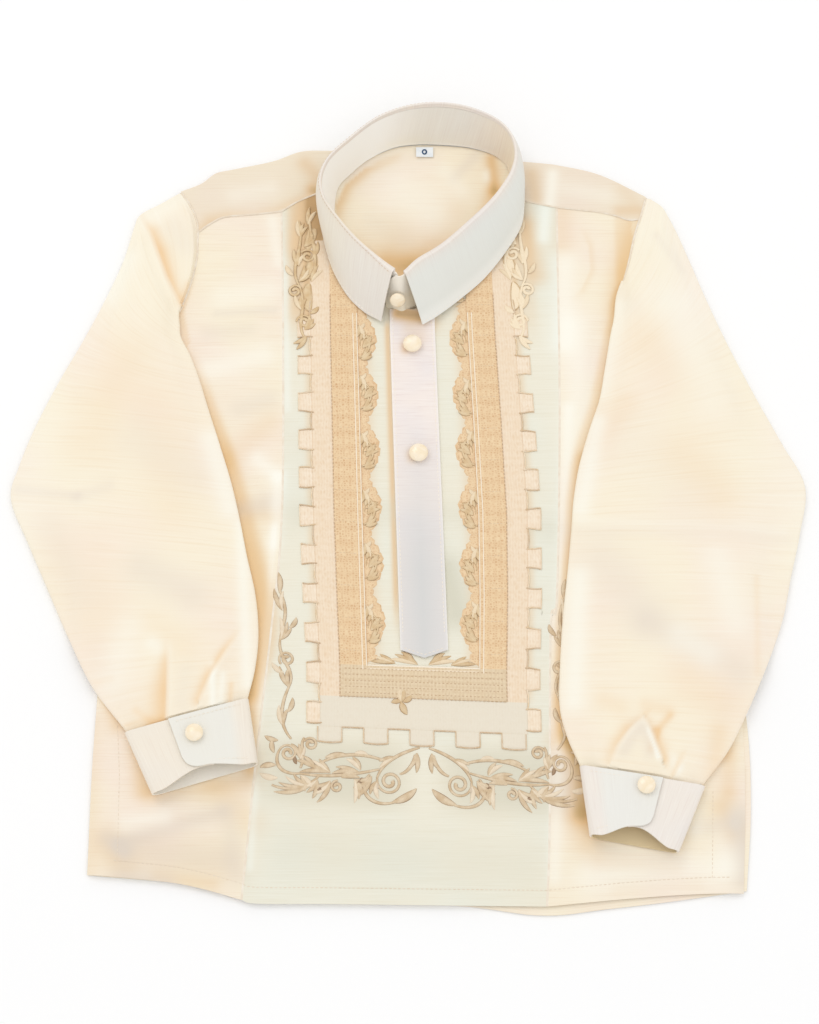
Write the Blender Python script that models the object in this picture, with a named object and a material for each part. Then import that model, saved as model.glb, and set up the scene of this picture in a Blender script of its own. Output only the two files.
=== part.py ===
"""A child's barong tagalog shirt, laid flat on its back with the sleeves folded in over the front.

The frame has +X to the right of the laid shirt, +Y towards the collar and +Z up from the surface.
The origin is on the flat underside of the back panel. Tables are in millimetres; meshes are in metres.
"""

import math

import bpy
import numpy as np
from mathutils import Vector
from mathutils.geometry import delaunay_2d_cdt

# Driving dimensions, in millimetres.
CLOTH = 1.0  # wall of a single layer of cloth
STIFF = 1.2  # wall of an interlined piece: collar, cuffs, placket
SEAM = 0.35  # gap between neighbouring pieces
FRONT_Z = CLOTH + SEAM  # underside of the front layer
BODY_TOP = FRONT_Z + CLOTH  # top of the front layer where it lies flat
COVER_Z = BODY_TOP + 0.55  # underside of a sleeve where it lies on the body
BACK_YOKE_Y = 128.0  # seam between back panel and back yoke
BAND_RAISE = 0.5  # height of the embroidered border over the cloth
TAN_RAISE = 0.8  # height of its dense inner band
GRID_STEP = 19.0  # spacing of the points inside a flat panel
SLACK = 0.5  # how far the open stretches of the front lie clear of the back
LOFT_MIDDLE = -20.0  # y about which the front lies loose, and how far it does before it is held down
LOFT_REACH = 172.0
LOFT_FADE = 60.0
SLEEVE_CLEAR = (3.0, 12.0)  # the front lies flat this near a sleeve, and over this much more is free again
CUFF_CLEAR = (4.0, 14.0)  # the same beside a cuff
TURN_SLANT = 0.25  # sideways lean of the shoulder folds' rounding, out of 1 upwards


def table(columns, rows):
    """A dictionary with one array for each named column."""
    return {name: np.array(values, float) for name, values in zip(columns.split(), zip(*rows))}


# Body edges, from the top down or from left to right.
ARMHOLE_LEFT = table("x y", [
    (-130.5, 193.5),
    (-124.5, 184),
    (-121, 174),
    (-120.5, 162),
    (-121, 150),
    (-124, 136),
    (-129, 121),
    (-137, 104),
    (-147, 86),
    (-159, 68),
])
ARMHOLE_RIGHT = table("x y", [
    (135, 190),
    (132, 179),
    (128, 166),
    (123, 144),
    (117, 122),
    (122, 106),
    (137, 86),
    (160, 68),
])
SIDE_LEFT = table("x y", [(-163, 20), (-166, -50), (-167.7, -108), (-169, -150), (-169.4, -203.5)])
SIDE_RIGHT = table("x y", [(166, 20), (172, -50), (178, -118), (178, -166), (175.3, -213.5)])
BACK_SIDE_RIGHT = table("x y", [(166, 20), (173, -50), (180.5, -118), (181, -166), (177, -212)])
HEM_FRONT_LEFT = table("x y", [(-169.4, -203.5), (-131, -207), (-111, -210.5), (-88, -217)])
HEM_FRONT_CENTRE = table("x y", [(-88, -217), (-80, -219), (-42, -219.2), (37, -220.2), (72, -220.6)])
HEM_FRONT_RIGHT = table("x y", [(72, -220.6), (114, -216.5), (150, -214), (175.3, -213.5)])
HEM_BACK = table("x y", [
    (-169.4, -203.5),
    (-111, -209),
    (-80, -217.5),
    (20, -219.5),
    (69, -225),
    (104, -221.5),
    (134, -218),
    (177, -212),
])
SEAM_LEFT = table("x y", [(-73, 181.5), (-71, 107), (-70, -4), (-75, -70), (-81, -133), (-88, -217)])
SEAM_RIGHT = table("x y", [(84, 184), (83.5, 60), (80, -52), (76.5, -66), (74, -179), (72, -220.6)])
YOKE_LEFT = table("x y", [(-120.7, 168), (-113, 174), (-105, 178), (-89, 179.5), (-73, 181.5)])
YOKE_LEFT_IN = table("x y", [(-73, 181.5), (-64, 187.5), (-53.5, 192.5)])
YOKE_RIGHT = table("x y", [(131.2, 176.5), (125, 176), (118, 178.5), (108, 181), (96, 182.5), (84, 184)])
YOKE_RIGHT_IN = table("x y", [(84, 184), (72, 186.5)])
SHOULDER_LEFT = table("x y", [
    (-130.5, 193.5),
    (-119, 198.5),
    (-111, 205),
    (-101, 207.5),
    (-78, 212.8),
    (-62, 219),
    (-45, 219.6),
])
SHOULDER_RIGHT = table("x y", [(76, 211.5), (86, 210), (109, 204), (135, 190)])

# Collar sections from the front round the left, the back and the right to the front again:
# seam on the neck, fold at the top, free edge of the fall, and how far the fall bulges outwards.
COLLAR = table("neck_x neck_y fold_x fold_y fold_z edge_x edge_y edge_z bulge", [
    (-5.5, 120.5, -8.0, 136.0, 24.0, -16.0, 112.0, 5.4, 0.8),
    (-17.0, 128.0, -19.3, 145.0, 24.0, -25.5, 118.0, 4.6, 0.8),
    (-28.0, 140.0, -30.6, 156.0, 24.0, -35.0, 128.0, 4.6, 0.9),
    (-36.5, 155.0, -40.2, 168.0, 24.5, -43.5, 144.0, 4.8, 1.2),
    (-41.0, 170.0, -47.5, 179.0, 25.0, -48.5, 162.0, 5.0, 1.8),
    (-42.5, 184.0, -49.8, 191.0, 25.0, -50.0, 181.0, 5.0, 2.4),
    (-40.5, 197.0, -45.5, 204.0, 24.5, -47.0, 199.5, 4.6, 2.6),
    (-33.0, 206.0, -34.0, 216.5, 23.5, -37.0, 212.0, 4.0, 2.6),
    (-24.0, 214.0, -20.0, 229.0, 22.5, -25.5, 222.0, 3.4, 2.4),
    (-10.0, 221.5, -5.0, 236.5, 22.0, -9.0, 229.5, 2.2, 2.2),
    (5.0, 223.8, 11.0, 239.6, 22.0, 7.0, 231.5, 2.0, 2.2),
    (20.0, 223.4, 27.0, 238.7, 22.0, 24.0, 231.0, 2.0, 2.2),
    (34.0, 222.0, 41.0, 234.0, 22.5, 39.5, 228.5, 2.2, 2.2),
    (47.0, 218.0, 51.5, 227.0, 23.5, 52.5, 221.5, 3.6, 2.4),
    (55.0, 211.5, 57.6, 218.0, 24.5, 60.5, 210.5, 4.4, 2.4),
    (57.5, 202.0, 59.6, 207.5, 25.0, 64.5, 197.0, 4.8, 2.2),
    (56.0, 190.0, 57.5, 197.0, 25.0, 65.5, 184.5, 5.0, 1.8),
    (51.5, 177.0, 52.0, 187.0, 24.5, 63.5, 171.0, 5.0, 1.4),
    (43.5, 162.0, 44.5, 177.0, 24.5, 55.5, 156.5, 4.8, 1.0),
    (31.0, 146.5, 31.7, 164.0, 24.0, 42.5, 139.0, 4.6, 0.9),
    (17.5, 133.5, 17.6, 151.0, 24.0, 28.5, 125.5, 5.4, 0.8),
    (5.0, 124.5, 4.0, 142.0, 24.0, 16.0, 115.0, 6.4, 0.8),
    (-2.5, 121.0, -4.2, 135.8, 24.0, 7.5, 109.3, 6.8, 0.8),
])
COLLAR_SECTIONS = 46
NECK_CLEAR = 3.2  # from the neck seam to the edge of the front layer
STAND_TOP = 0.93  # height of the stand's upper edge, as a share of the way up to the fold
STAND_LAP = 0.024  # share of the neck ring by which each end of the stand passes the centre
LAP_STEP = 1.7  # how far the upper end of the stand lies over the lower one
FOLD_REACH = 3.3  # depth of the fold over the stand's upper edge
FOLD_PROFILE = [(0.0, 0.2), (0.5, 0.7), (1.0, -0.9)]  # the fold's shares of that depth, and heights

# Sleeve rings from the armhole to the cuff: inner and outer edge, bow of the ring sideways, height of
# the upper layer over the lower one at the edges and in the middle.
SLEEVE_LEFT = table("in_x in_y out_x out_y bow rise puff", [
    (-130.0, 121.5, -132.0, 193.3, 8.5, 0.8, 0.3),
    (-132.5, 118.5, -142.5, 186.5, 4.0, 0.8, 0.8),
    (-133.0, 114.5, -153.0, 180.0, -1.0, 0.8, 1.0),
    (-131.0, 109.0, -155.5, 172.5, -5.0, 1.2, 4.2),
    (-128.0, 101.5, -160.5, 153.0, -9.0, 1.2, 4.6),
    (-122.5, 91.0, -169.0, 132.0, -9.0, 1.2, 4.2),
    (-117.5, 78.0, -182.0, 104.0, -6.0, 1.2, 3.8),
    (-112.0, 60.0, -196.0, 76.0, -3.0, 1.2, 3.4),
    (-105.0, 38.0, -208.0, 48.5, 0.0, 1.2, 3.2),
    (-98.0, 15.0, -216.0, 25.0, 0.0, 1.2, 3.0),
    (-93.0, -6.0, -219.3, 7.0, 0.0, 1.2, 3.0),
    (-88.5, -28.0, -209.0, -18.0, 0.0, 1.2, 3.2),
    (-83.5, -50.0, -197.0, -45.0, 0.0, 1.2, 3.6),
    (-81.5, -72.0, -184.5, -73.0, 0.0, 1.2, 3.8),
    (-83.0, -91.0, -170.5, -101.0, 0.0, 1.2, 4.0),
    (-86.8, -108.0, -151.5, -126.0, 0.0, 1.4, 3.6),
])
SLEEVE_RIGHT = table("in_x in_y out_x out_y bow rise puff", [
    (123.0, 136.0, 136.8, 190.2, -0.8, 1.0, 0.4),
    (119.5, 125.5, 143.0, 185.5, -4.5, 1.2, 2.4),
    (115.3, 113.0, 145.5, 181.0, -6.0, 1.4, 4.4),
    (113.0, 104.0, 151.0, 169.0, -9.0, 1.2, 4.4),
    (111.0, 94.0, 158.0, 151.0, -9.0, 1.2, 4.0),
    (108.5, 80.0, 167.5, 126.0, -7.0, 1.2, 3.8),
    (105.5, 64.0, 179.0, 98.0, -4.0, 1.2, 3.6),
    (99.5, 46.0, 193.0, 67.0, -2.0, 1.2, 3.2),
    (93.5, 25.0, 206.5, 39.0, 0.0, 1.2, 3.0),
    (90.0, 5.0, 218.0, 14.0, 0.0, 1.2, 3.0),
    (88.5, -12.0, 214.0, -13.0, 0.0, 1.2, 3.0),
    (86.0, -36.0, 208.0, -38.0, 0.0, 1.2, 3.2),
    (83.0, -62.0, 202.5, -62.0, 0.0, 1.2, 3.6),
    (81.0, -88.0, 193.0, -88.0, 0.0, 1.2, 3.8),
    (80.3, -112.0, 181.0, -115.0, 0.0, 1.2, 4.0),
    (84.0, -129.0, 170.0, -136.5, 0.0, 1.2, 4.2),
    (90.5, -144.5, 156.0, -155.0, 0.0, 1.4, 3.6),
])
SLEEVE_RINGS = 25
UPPER_POINTS = 11  # points across the upper layer of a sleeve
LOWER_POINTS = 11
PLATEAU = 9.0  # how far outside the body a sleeve still lies at the body's height
NARROW_SLOPE = 12.0  # width of the slope by which the lower layer climbs onto the body
WIDE_SLOPE = 26.0  # and of the softer slope of the upper layer

# Cuffs: corners at the sleeve and at the mouth, where the upper end stops across the front, how far
# the front edge is drawn back from the mouth, and the clear height inside at the sleeve and the mouth.
CUFFS = {
    "cuff_left": dict(top_in=(-86.5, -109.2), top_out=(-151.5, -127.5), mouth_in=(-80.7, -144.8),
                      mouth_out=(-135.8, -161.5), lap_end=0.34, drawn=6.0, gap=(3.6, 6.0)),
    "cuff_right": dict(top_in=(90.8, -146.2), top_out=(156.0, -156.9), mouth_in=(95.2, -184.0),
                       mouth_out=(141.0, -192.5), lap_end=0.32, drawn=8.0, gap=(3.6, 6.5)),
}
CUFF_LAP = 0.30  # how far the lower end runs on beneath the upper one, as a share of the width
CUFF_CORNER = 9.0  # radius of the rounded corner
CUFF_SEAT = SEAM + 0.1  # gap between the two lapped ends
CUFF_SWELL = 0.8  # rise of the front of a cuff in the middle of its width
CUFF_LEVELS = (0.0, 0.35, 0.7, 1.0)  # rows of points, from the sleeve to the mouth

# Border of the centre front, in its own skewed frame: half widths and heights over its foot.
BORDER = dict(foot_y=-107.9, drop=0.0375, level=200.0, tan_in=29.9, tan_out=44.8, light_out=55.7,
              merlon_out=62.7, tan_foot=17.9, light_foot=17.4, merlon_foot=25.6, top=252.0)
# Middle line of the border and its spread at heights over the foot: it leans and bows outwards a little.
BORDER_COURSE = table("height middle spread", [
    (-30, 7.9, 1.0), (15, 7.4, 1.0), (60, 6.9, 1.035), (107, 5.9, 1.057), (160, 4.0, 1.045), (213, 1.8, 1.03),
    (260, 0.4, 1.02),
])
SIDE_MERLON = dict(first=-15.2, pitch=22.65, height=11.4, count=11)
FOOT_MERLON = dict(shift=-1.2, pitch=24.6, width=12.9, count=5)
MERLON_INSET = 0.6  # the first foot merlon stands this far in from the band's corner
TAN_INSET = 1.5  # the dense band's rim inside the border's own edge
TAN_SLANT = (13.0, 22.0, 26.0)  # how far the slanted tops of the bands lie under the border's top

PLACKET = table("x y half", [(1.4, 115.5, 12.6), (3.2, 60.0, 12.7), (5.6, -10.0, 12.8), (8.0, -80.5, 12.9)])
PLACKET_TIP = 4.6

# Profile of a shank button: radius and height over the cloth, from the foot to the crown.
BUTTON = table("radius height", [
    (1.9, 0.0),
    (1.9, 1.1),
    (4.5, 1.3),
    (5.2, 2.0),
    (5.0, 2.7),
    (4.0, 3.6),
    (2.2, 4.3),
])
BUTTON_TOP = 4.5
BUTTON_SIDES = 20
PLACKET_BUTTONS = [(1.6, 98.0), (5.0, 32.5)]
CUFF_BUTTONS = {"cuff_left": (-114.2, -129.5), "cuff_right": (124.9, -158.0)}
COLLAR_BUTTON_SIZE = 0.86
CUFF_BUTTON_SIZE = 0.92

LABEL = dict(left=3.8, right=13.6, low=216.6, high=222.6)

# Soft folds: ends of the ridge (or trough, where the height is negative), height and half width.
FRONT_FOLDS = table("x1 y1 x2 y2 height width", [
    (-154, -182, -93, -164, -0.8, 9),
    (-100, -205, -96, -150, 1.4, 14),
    (-40, -210, -30, -150, 1.1, 18),
    (40, -212, 44, -150, 1.2, 16),
    (110, -205, 100, -196, 1.3, 14),
    (163, -200, 168, -170, 0.8, 8),
    (-90, 150, -84, 90, 0.9, 10),
    (100, 150, 95, 60, 0.9, 8),
])
SLEEVE_FOLDS = table("x1 y1 x2 y2 height width", [
    (-214, 15, -165, 14, -1.2, 7),
    (-132, -84, -133, -120, -1.4, 7),
    (-93, -72, -116, -102, 1.4, 7),
    (-107, -97, -104, -112, -1.0, 6),
    (-166, -104, -146, -122, 1.4, 6),
    (-150, 60, -120, 20, 1.0, 14),
    (93, -9, 212, -16, -1.5, 6),
    (195, -20, 183, -96, -1.0, 8),
    (127, -121, 141, -116, -1.4, 7),
    (135, -138, 148, -152, -1.0, 6),
    (104, -110, 110, -140, 1.6, 6),
    (140, 120, 175, 60, 1.2, 14),
])

COLOURS = {
    "body": (0.90, 0.83, 0.68),
    "sheer": (0.80, 0.80, 0.70),
    "collar": (0.78, 0.74, 0.66),
    "sleeve": (0.92, 0.82, 0.66),
    "pearl": (0.88, 0.76, 0.60),
    "label": (0.80, 0.82, 0.84),
}


# --- Curves and outlines ---------------------------------------------------------------------

def smooth(values, count, closed=False):
    """Catmull-Rom curve through rows of values, sampled at count points."""
    values = np.asarray(values, float)
    last = len(values) if closed else len(values) - 1
    at = np.linspace(0, last, count, endpoint=not closed)
    return spline(values, at, closed)


def spline(values, at, closed=False):
    """Catmull-Rom curve through rows of values, read at the row positions in at."""
    rows = len(values)
    if not closed:
        before = 2 * values[0] - values[1]
        after = 2 * values[-1] - values[-2]
        values = np.vstack([before, values, after])
        at = np.clip(at, 0, rows - 1) + 1
        base = np.minimum(np.floor(at).astype(int), rows - 1)
        picks = [base - 1, base, base + 1, base + 2]
    else:
        base = np.floor(at).astype(int)
        picks = [(base + step) % rows for step in (-1, 0, 1, 2)]
    t = (at - base)[:, None]
    a, b, c, d = (values[pick] for pick in picks)
    return 0.5 * (2 * b + (c - a) * t + (2 * a - 5 * b + 4 * c - d) * t**2 + (3 * b - a - 3 * c + d) * t**3)


def line(columns, per_span=3):
    """A smooth polyline of x, y points through the rows of a table."""
    points = np.column_stack([columns["x"], columns["y"]])
    return smooth(points, (len(points) - 1) * per_span + 1)


def chain(*lines):
    """Lines joined end to end into one outline, without the shared ends."""
    points = []
    for part in lines:
        for point in part:
            if not points or np.hypot(*(point - points[-1])) > 0.2:
                points.append(np.array(point, float))
    if np.hypot(*(points[0] - points[-1])) < 0.2:
        points.pop()
    return np.array(points)


def area_of(outline):
    x, y = outline[:, 0], outline[:, 1]
    return 0.5 * float(np.sum(x * np.roll(y, -1) - np.roll(x, -1) * y))


def inset(outline, distance):
    """The outline with every edge moved inwards by distance, for either direction of travel."""
    ahead = np.roll(outline, -1, axis=0) - outline
    ahead /= np.linalg.norm(ahead, axis=1)[:, None]
    normal = np.column_stack([-ahead[:, 1], ahead[:, 0]]) * math.copysign(1, area_of(outline))
    before = np.roll(normal, 1, axis=0)
    share = 1 + np.sum(normal * before, axis=1)
    return outline + distance * (normal + before) / np.maximum(share, 0.3)[:, None]


def inside(points, outline):
    """Even-odd test of many points against one outline."""
    x, y = points[:, 0][:, None], points[:, 1][:, None]
    x1, y1 = outline[:, 0][None], outline[:, 1][None]
    x2, y2 = np.roll(outline[:, 0], -1)[None], np.roll(outline[:, 1], -1)[None]
    crosses = (y1 > y) != (y2 > y)
    rise = np.where(crosses, y2 - y1, 1.0)
    return np.sum(crosses & (x < x1 + (y - y1) * (x2 - x1) / rise), axis=1) % 2 == 1


def distance_to(points, outline):
    """Distance of many points to the edges of an outline."""
    start, end = outline[None], np.roll(outline, -1, axis=0)[None]
    run = end - start
    share = np.sum((points[:, None] - start) * run, axis=2) / np.maximum(np.sum(run * run, axis=2), 1e-9)
    near = start + np.clip(share, 0, 1)[..., None] * run
    return np.min(np.linalg.norm(points[:, None] - near, axis=2), axis=1)


def outside_distance(points, outline):
    """Distance of many points to an outline, 0 inside it."""
    return np.where(inside(points, outline), 0, distance_to(points, outline))


def folds(points, rows):
    """Height that the soft folds of a table add at x, y points."""
    height = np.zeros(len(points))
    for k in range(len(rows["x1"])):
        start = np.array([rows["x1"][k], rows["y1"][k]])
        run = np.array([rows["x2"][k], rows["y2"][k]]) - start
        share = np.clip((points - start) @ run / (run @ run), 0, 1)
        away = np.linalg.norm(points - start - share[:, None] * run, axis=1)
        height += rows["height"][k] * np.exp(-((away / rows["width"][k]) ** 2))
    return height


def soft_step(value):
    value = np.clip(value, 0, 1)
    return value * value * (3 - 2 * value)


# --- Solids ----------------------------------------------------------------------------------

def material(name):
    found = bpy.data.materials.get(name)
    if found:
        return found
    made = bpy.data.materials.new(name)
    made.use_nodes = True
    shader = made.node_tree.nodes["Principled BSDF"]
    shader.inputs["Base Color"].default_value = (*COLOURS[name], 1)
    shader.inputs["Roughness"].default_value = 0.25 if name == "pearl" else 0.75
    shader.inputs["Metallic"].default_value = 0.0
    return made


def add_object(name, points, faces, finish):
    """A named mesh object from points in millimetres."""
    mesh = bpy.data.meshes.new(name)
    mesh.from_pydata([tuple(point) for point in np.asarray(points) * 0.001], [], faces)
    mesh.materials.append(material(finish))
    mesh.update()
    made = bpy.data.objects.new(name, mesh)
    bpy.context.scene.collection.objects.link(made)
    return made


def cloth(name, outer, inner, faces, finish):
    """A closed wall between two layers of points that share their faces; open edges get a rim."""
    count = len(outer)
    thirds = [(face[0], face[k], face[k + 1]) for face in faces for k in range(1, len(face) - 1)]
    used = {(face[k], face[(k + 1) % 3]) for face in thirds for k in range(3)}
    solid = thirds + [tuple(count + corner for corner in reversed(face)) for face in thirds]
    solid += [(b, a, count + a, count + b) for a, b in sorted(used) if (b, a) not in used]
    return add_object(name, np.vstack([outer, inner]), solid, finish)


def grid_faces(rows, columns, around=False):
    """Quads of a grid of points; around joins the last column to the first."""
    spans = columns if around else columns - 1
    return [
        (row * columns + k, row * columns + (k + 1) % columns,
         (row + 1) * columns + (k + 1) % columns, (row + 1) * columns + k)
        for row in range(rows - 1) for k in range(spans)
    ]


def normals_of(grid, around=False):
    """Unit normals of a grid of points, to the left of its rows seen along its columns."""
    down = np.gradient(grid, axis=0)
    if around:
        across = np.roll(grid, -1, axis=1) - np.roll(grid, 1, axis=1)
    else:
        across = np.gradient(grid, axis=1)
    normal = np.cross(across, down)
    return normal / np.linalg.norm(normal, axis=2)[..., None]


def triangles(outline, loops=(), points=()):
    """Triangles that fill an outline and keep the edges of the loops: (points, source index, faces)."""
    rows = [np.asarray(outline)] + [np.asarray(loop) for loop in loops]
    edges = []
    start = 0
    for row in rows:
        edges += [(start + k, start + (k + 1) % len(row)) for k in range(len(row))]
        start += len(row)
    every = np.vstack(rows + ([np.asarray(points)] if len(points) else []))
    flat, _, faces, sources, _, _ = delaunay_2d_cdt(
        [Vector(point) for point in every], edges, [], 0, 1e-5, True
    )
    flat = np.array([tuple(point) for point in flat])
    middles = np.array([flat[list(corners)].mean(axis=0) for corners in faces])
    kept = []
    for corners, within in zip(faces, inside(middles, rows[0])):
        if within:
            kept.append(tuple(corners) if area_of(flat[list(corners)]) > 0 else tuple(reversed(corners)))
    return flat, [source[0] for source in sources], kept


def inner_points(outline, keep_from=(), margin=7.0):
    """Staggered points inside an outline, clear of its edges and of the loops in keep_from."""
    low, high = outline.min(axis=0), outline.max(axis=0)
    points = []
    for row, y in enumerate(np.arange(low[1] + 6, high[1], GRID_STEP * 0.87)):
        for x in np.arange(low[0] + (row % 2) * GRID_STEP / 2, high[0], GRID_STEP):
            points.append((x, y))
    points = np.array(points)
    points = points[inside(points, outline)]
    for loop, gap in [(outline, margin)] + [(loop, 2.5) for loop in keep_from]:
        points = points[distance_to(points, loop) > gap]
    return points


# --- Body ------------------------------------------------------------------------------------

def neck_ring(away, first, last, count):
    """Points of the neck seam between two collar sections, moved outwards by away."""
    ring = np.column_stack([COLLAR["neck_x"], COLLAR["neck_y"]])
    at = np.linspace(first, last, count)
    along = spline(ring, at + 0.02, True) - spline(ring, at - 0.02, True)
    outward = np.column_stack([along[:, 1], -along[:, 0]])
    outward /= -np.linalg.norm(outward, axis=1)[:, None]
    return spline(ring, at, True) + away * outward


SECTIONS = len(COLLAR["neck_x"])
LEFT_NECK, RIGHT_NECK = 6, 16  # collar sections where the yoke seams meet the neck
LEFT_TURN, RIGHT_TURN = 8, 14  # collar sections where the shoulder folds meet the neck


def body_outline():
    """The outline of the body below the visible armholes, where sleeves may lie on it."""
    left, right = line(ARMHOLE_LEFT), line(ARMHOLE_RIGHT)
    left = left[left[:, 1] < SLEEVE_LEFT["in_y"][0]]
    right = right[right[:, 1] < SLEEVE_RIGHT["in_y"][1]]
    return chain(left, line(SIDE_LEFT), line(HEM_BACK), line(BACK_SIDE_RIGHT)[::-1], right[::-1])


COVERED = body_outline()


def support(points, width):
    """Height of whatever lies beneath a sleeve: the body, and a soft slope down to the surface."""
    return COVER_Z * soft_step(1 - (outside_distance(points, COVERED) - PLATEAU) / width)


def loft(points):
    """Height of the front's underside over its flat place, none where sleeves, collar or cuffs lie."""
    height = SLACK + np.maximum(folds(points, FRONT_FOLDS), -SLACK)
    height *= soft_step((LOFT_REACH - np.abs(points[:, 1] - LOFT_MIDDLE)) / LOFT_FADE)
    for rows, side in ((SLEEVE_LEFT, -1), (SLEEVE_RIGHT, 1)):
        edge = np.interp(-points[:, 1], -rows["in_y"], rows["in_x"])
        clear = soft_step(((edge - points[:, 0]) * side - SLEEVE_CLEAR[0]) / SLEEVE_CLEAR[1])
        height *= np.where(points[:, 1] < rows["in_y"][-1], 1, clear)
    for cuff in CUFFS.values():
        corners = np.array([cuff[key] for key in ("top_in", "top_out", "mouth_out", "mouth_in")])
        height *= soft_step((outside_distance(points, corners) - CUFF_CLEAR[0]) / CUFF_CLEAR[1])
    return height


def make_back():
    armhole_left, armhole_right = line(ARMHOLE_LEFT), line(ARMHOLE_RIGHT)
    left = armhole_left[armhole_left[:, 1] < BACK_YOKE_Y]
    right = armhole_right[armhole_right[:, 1] < BACK_YOKE_Y]
    left_top = np.interp(-BACK_YOKE_Y, -armhole_left[:, 1], armhole_left[:, 0])
    right_top = np.interp(-BACK_YOKE_Y, -armhole_right[:, 1], armhole_right[:, 0])
    top = np.column_stack([np.linspace(right_top, left_top, 9), np.full(9, BACK_YOKE_Y)])
    outline = chain(top, left, line(SIDE_LEFT), line(HEM_BACK), line(BACK_SIDE_RIGHT)[::-1], right[::-1])
    flat, _, faces = triangles(inset(outline, SEAM / 2))
    low = np.column_stack([flat, np.zeros(len(flat))])
    high = np.column_stack([flat, np.full(len(flat), CLOTH)])
    cloth("back_panel", high, low, faces, "body")


def make_front(name, outline, finish, loops=(), raises=()):
    """A front panel: loops and raises give raised ornament as pairs of foot and top outlines."""
    outline = inset(outline, SEAM / 2)
    points = inner_points(outline, loops)
    flat, sources, faces = triangles(outline, loops, points)
    lift = [np.zeros(len(outline))]
    lift += [np.full(len(loop), height) for loop, height in zip(loops, raises)]
    raised = np.zeros(len(points))
    for loop, height in zip(loops, raises):
        raised[inside(points, loop)] = height
    lift = np.concatenate(lift + [raised])[sources]
    low = FRONT_Z + loft(flat)
    outer = np.column_stack([flat, low + CLOTH + lift])
    inner = np.column_stack([flat, low])
    cloth(name, outer, inner, faces, finish)


def skewed(points):
    """Border points from its own frame into the shirt's."""
    across, up = np.asarray(points, float).T
    middle = np.interp(up, BORDER_COURSE["height"], BORDER_COURSE["middle"])
    spread = np.interp(up, BORDER_COURSE["height"], BORDER_COURSE["spread"])
    y = BORDER["foot_y"] + up - BORDER["drop"] * across * (1 - up / BORDER["level"])
    return np.column_stack([middle + across * spread, y])


def border_outline():
    """The U-shaped border with its merlons, once round, from the left arm's top down the outside."""
    out, wide, top = BORDER["light_out"], BORDER["merlon_out"], BORDER["top"]
    foot = -BORDER["light_foot"]
    deep = -BORDER["merlon_foot"]
    side = []
    for k in range(SIDE_MERLON["count"] - 1, -1, -1):
        start = SIDE_MERLON["first"] + SIDE_MERLON["pitch"] * k
        end = start + SIDE_MERLON["height"]
        side += [(end, out), (end, wide), (start, wide), (start, out)]
    points = [(-out, top)] + [(-across, up) for up, across in side] + [(-out, foot)]
    for k in range(FOOT_MERLON["count"]):
        middle = FOOT_MERLON["shift"] + FOOT_MERLON["pitch"] * (k - (FOOT_MERLON["count"] - 1) / 2)
        left, right = middle - FOOT_MERLON["width"] / 2, middle + FOOT_MERLON["width"] / 2
        left = max(left, MERLON_INSET - out)
        points += [(left, foot), (left, deep), (right, deep), (right, foot)]
    points += [(out, foot)] + [(across, up) for up, across in reversed(side)] + [(out, top)]
    inner, low_top = BORDER["tan_in"], top - TAN_SLANT[1]
    points += [(inner, low_top), (inner, BORDER["tan_foot"])]
    points += [(-inner, BORDER["tan_foot"]), (-inner, low_top)]
    return np.array(points)


def tan_outline():
    """The dense inner band of the border."""
    edge, out = BORDER["tan_in"] + TAN_INSET, BORDER["tan_out"]
    rise, high, low = BORDER["tan_foot"] - TAN_INSET, BORDER["top"] - TAN_SLANT[0], BORDER["top"] - TAN_SLANT[2]
    return np.array([(-out, high), (-out, 0), (out, 0), (out, high), (edge, low),
                     (edge, rise), (-edge, rise), (-edge, low)])


def make_fronts():
    left_neck = neck_ring(NECK_CLEAR, LEFT_NECK, 0, 16)
    right_neck = neck_ring(NECK_CLEAR, SECTIONS, RIGHT_NECK, 16)
    centre = chain(line(YOKE_LEFT_IN, 2), left_neck, right_neck, line(YOKE_RIGHT_IN, 2)[::-1],
                   line(SEAM_RIGHT, 2), line(HEM_FRONT_CENTRE, 2)[::-1], line(SEAM_LEFT, 2)[::-1])
    border, tan = border_outline(), tan_outline()
    loops = [skewed(border), skewed(inset(border, 0.5)), skewed(tan), skewed(inset(tan, 0.5))]
    make_front("front_centre", centre, "sheer", loops, (0, BAND_RAISE, BAND_RAISE, TAN_RAISE))

    armhole = line(ARMHOLE_LEFT)
    armhole = armhole[armhole[:, 1] < YOKE_LEFT["y"][0]]
    left = chain(line(YOKE_LEFT, 2), line(SEAM_LEFT, 2), line(HEM_FRONT_LEFT)[::-1],
                 line(SIDE_LEFT)[::-1], armhole[::-1])
    make_front("front_side_left", left, "body")

    armhole = line(ARMHOLE_RIGHT)
    armhole = armhole[armhole[:, 1] < YOKE_RIGHT["y"][0]]
    right = chain(line(YOKE_RIGHT, 2), line(SEAM_RIGHT, 2), line(HEM_FRONT_RIGHT),
                  line(SIDE_RIGHT)[::-1], armhole[::-1])
    make_front("front_side_right", right, "body")


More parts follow.
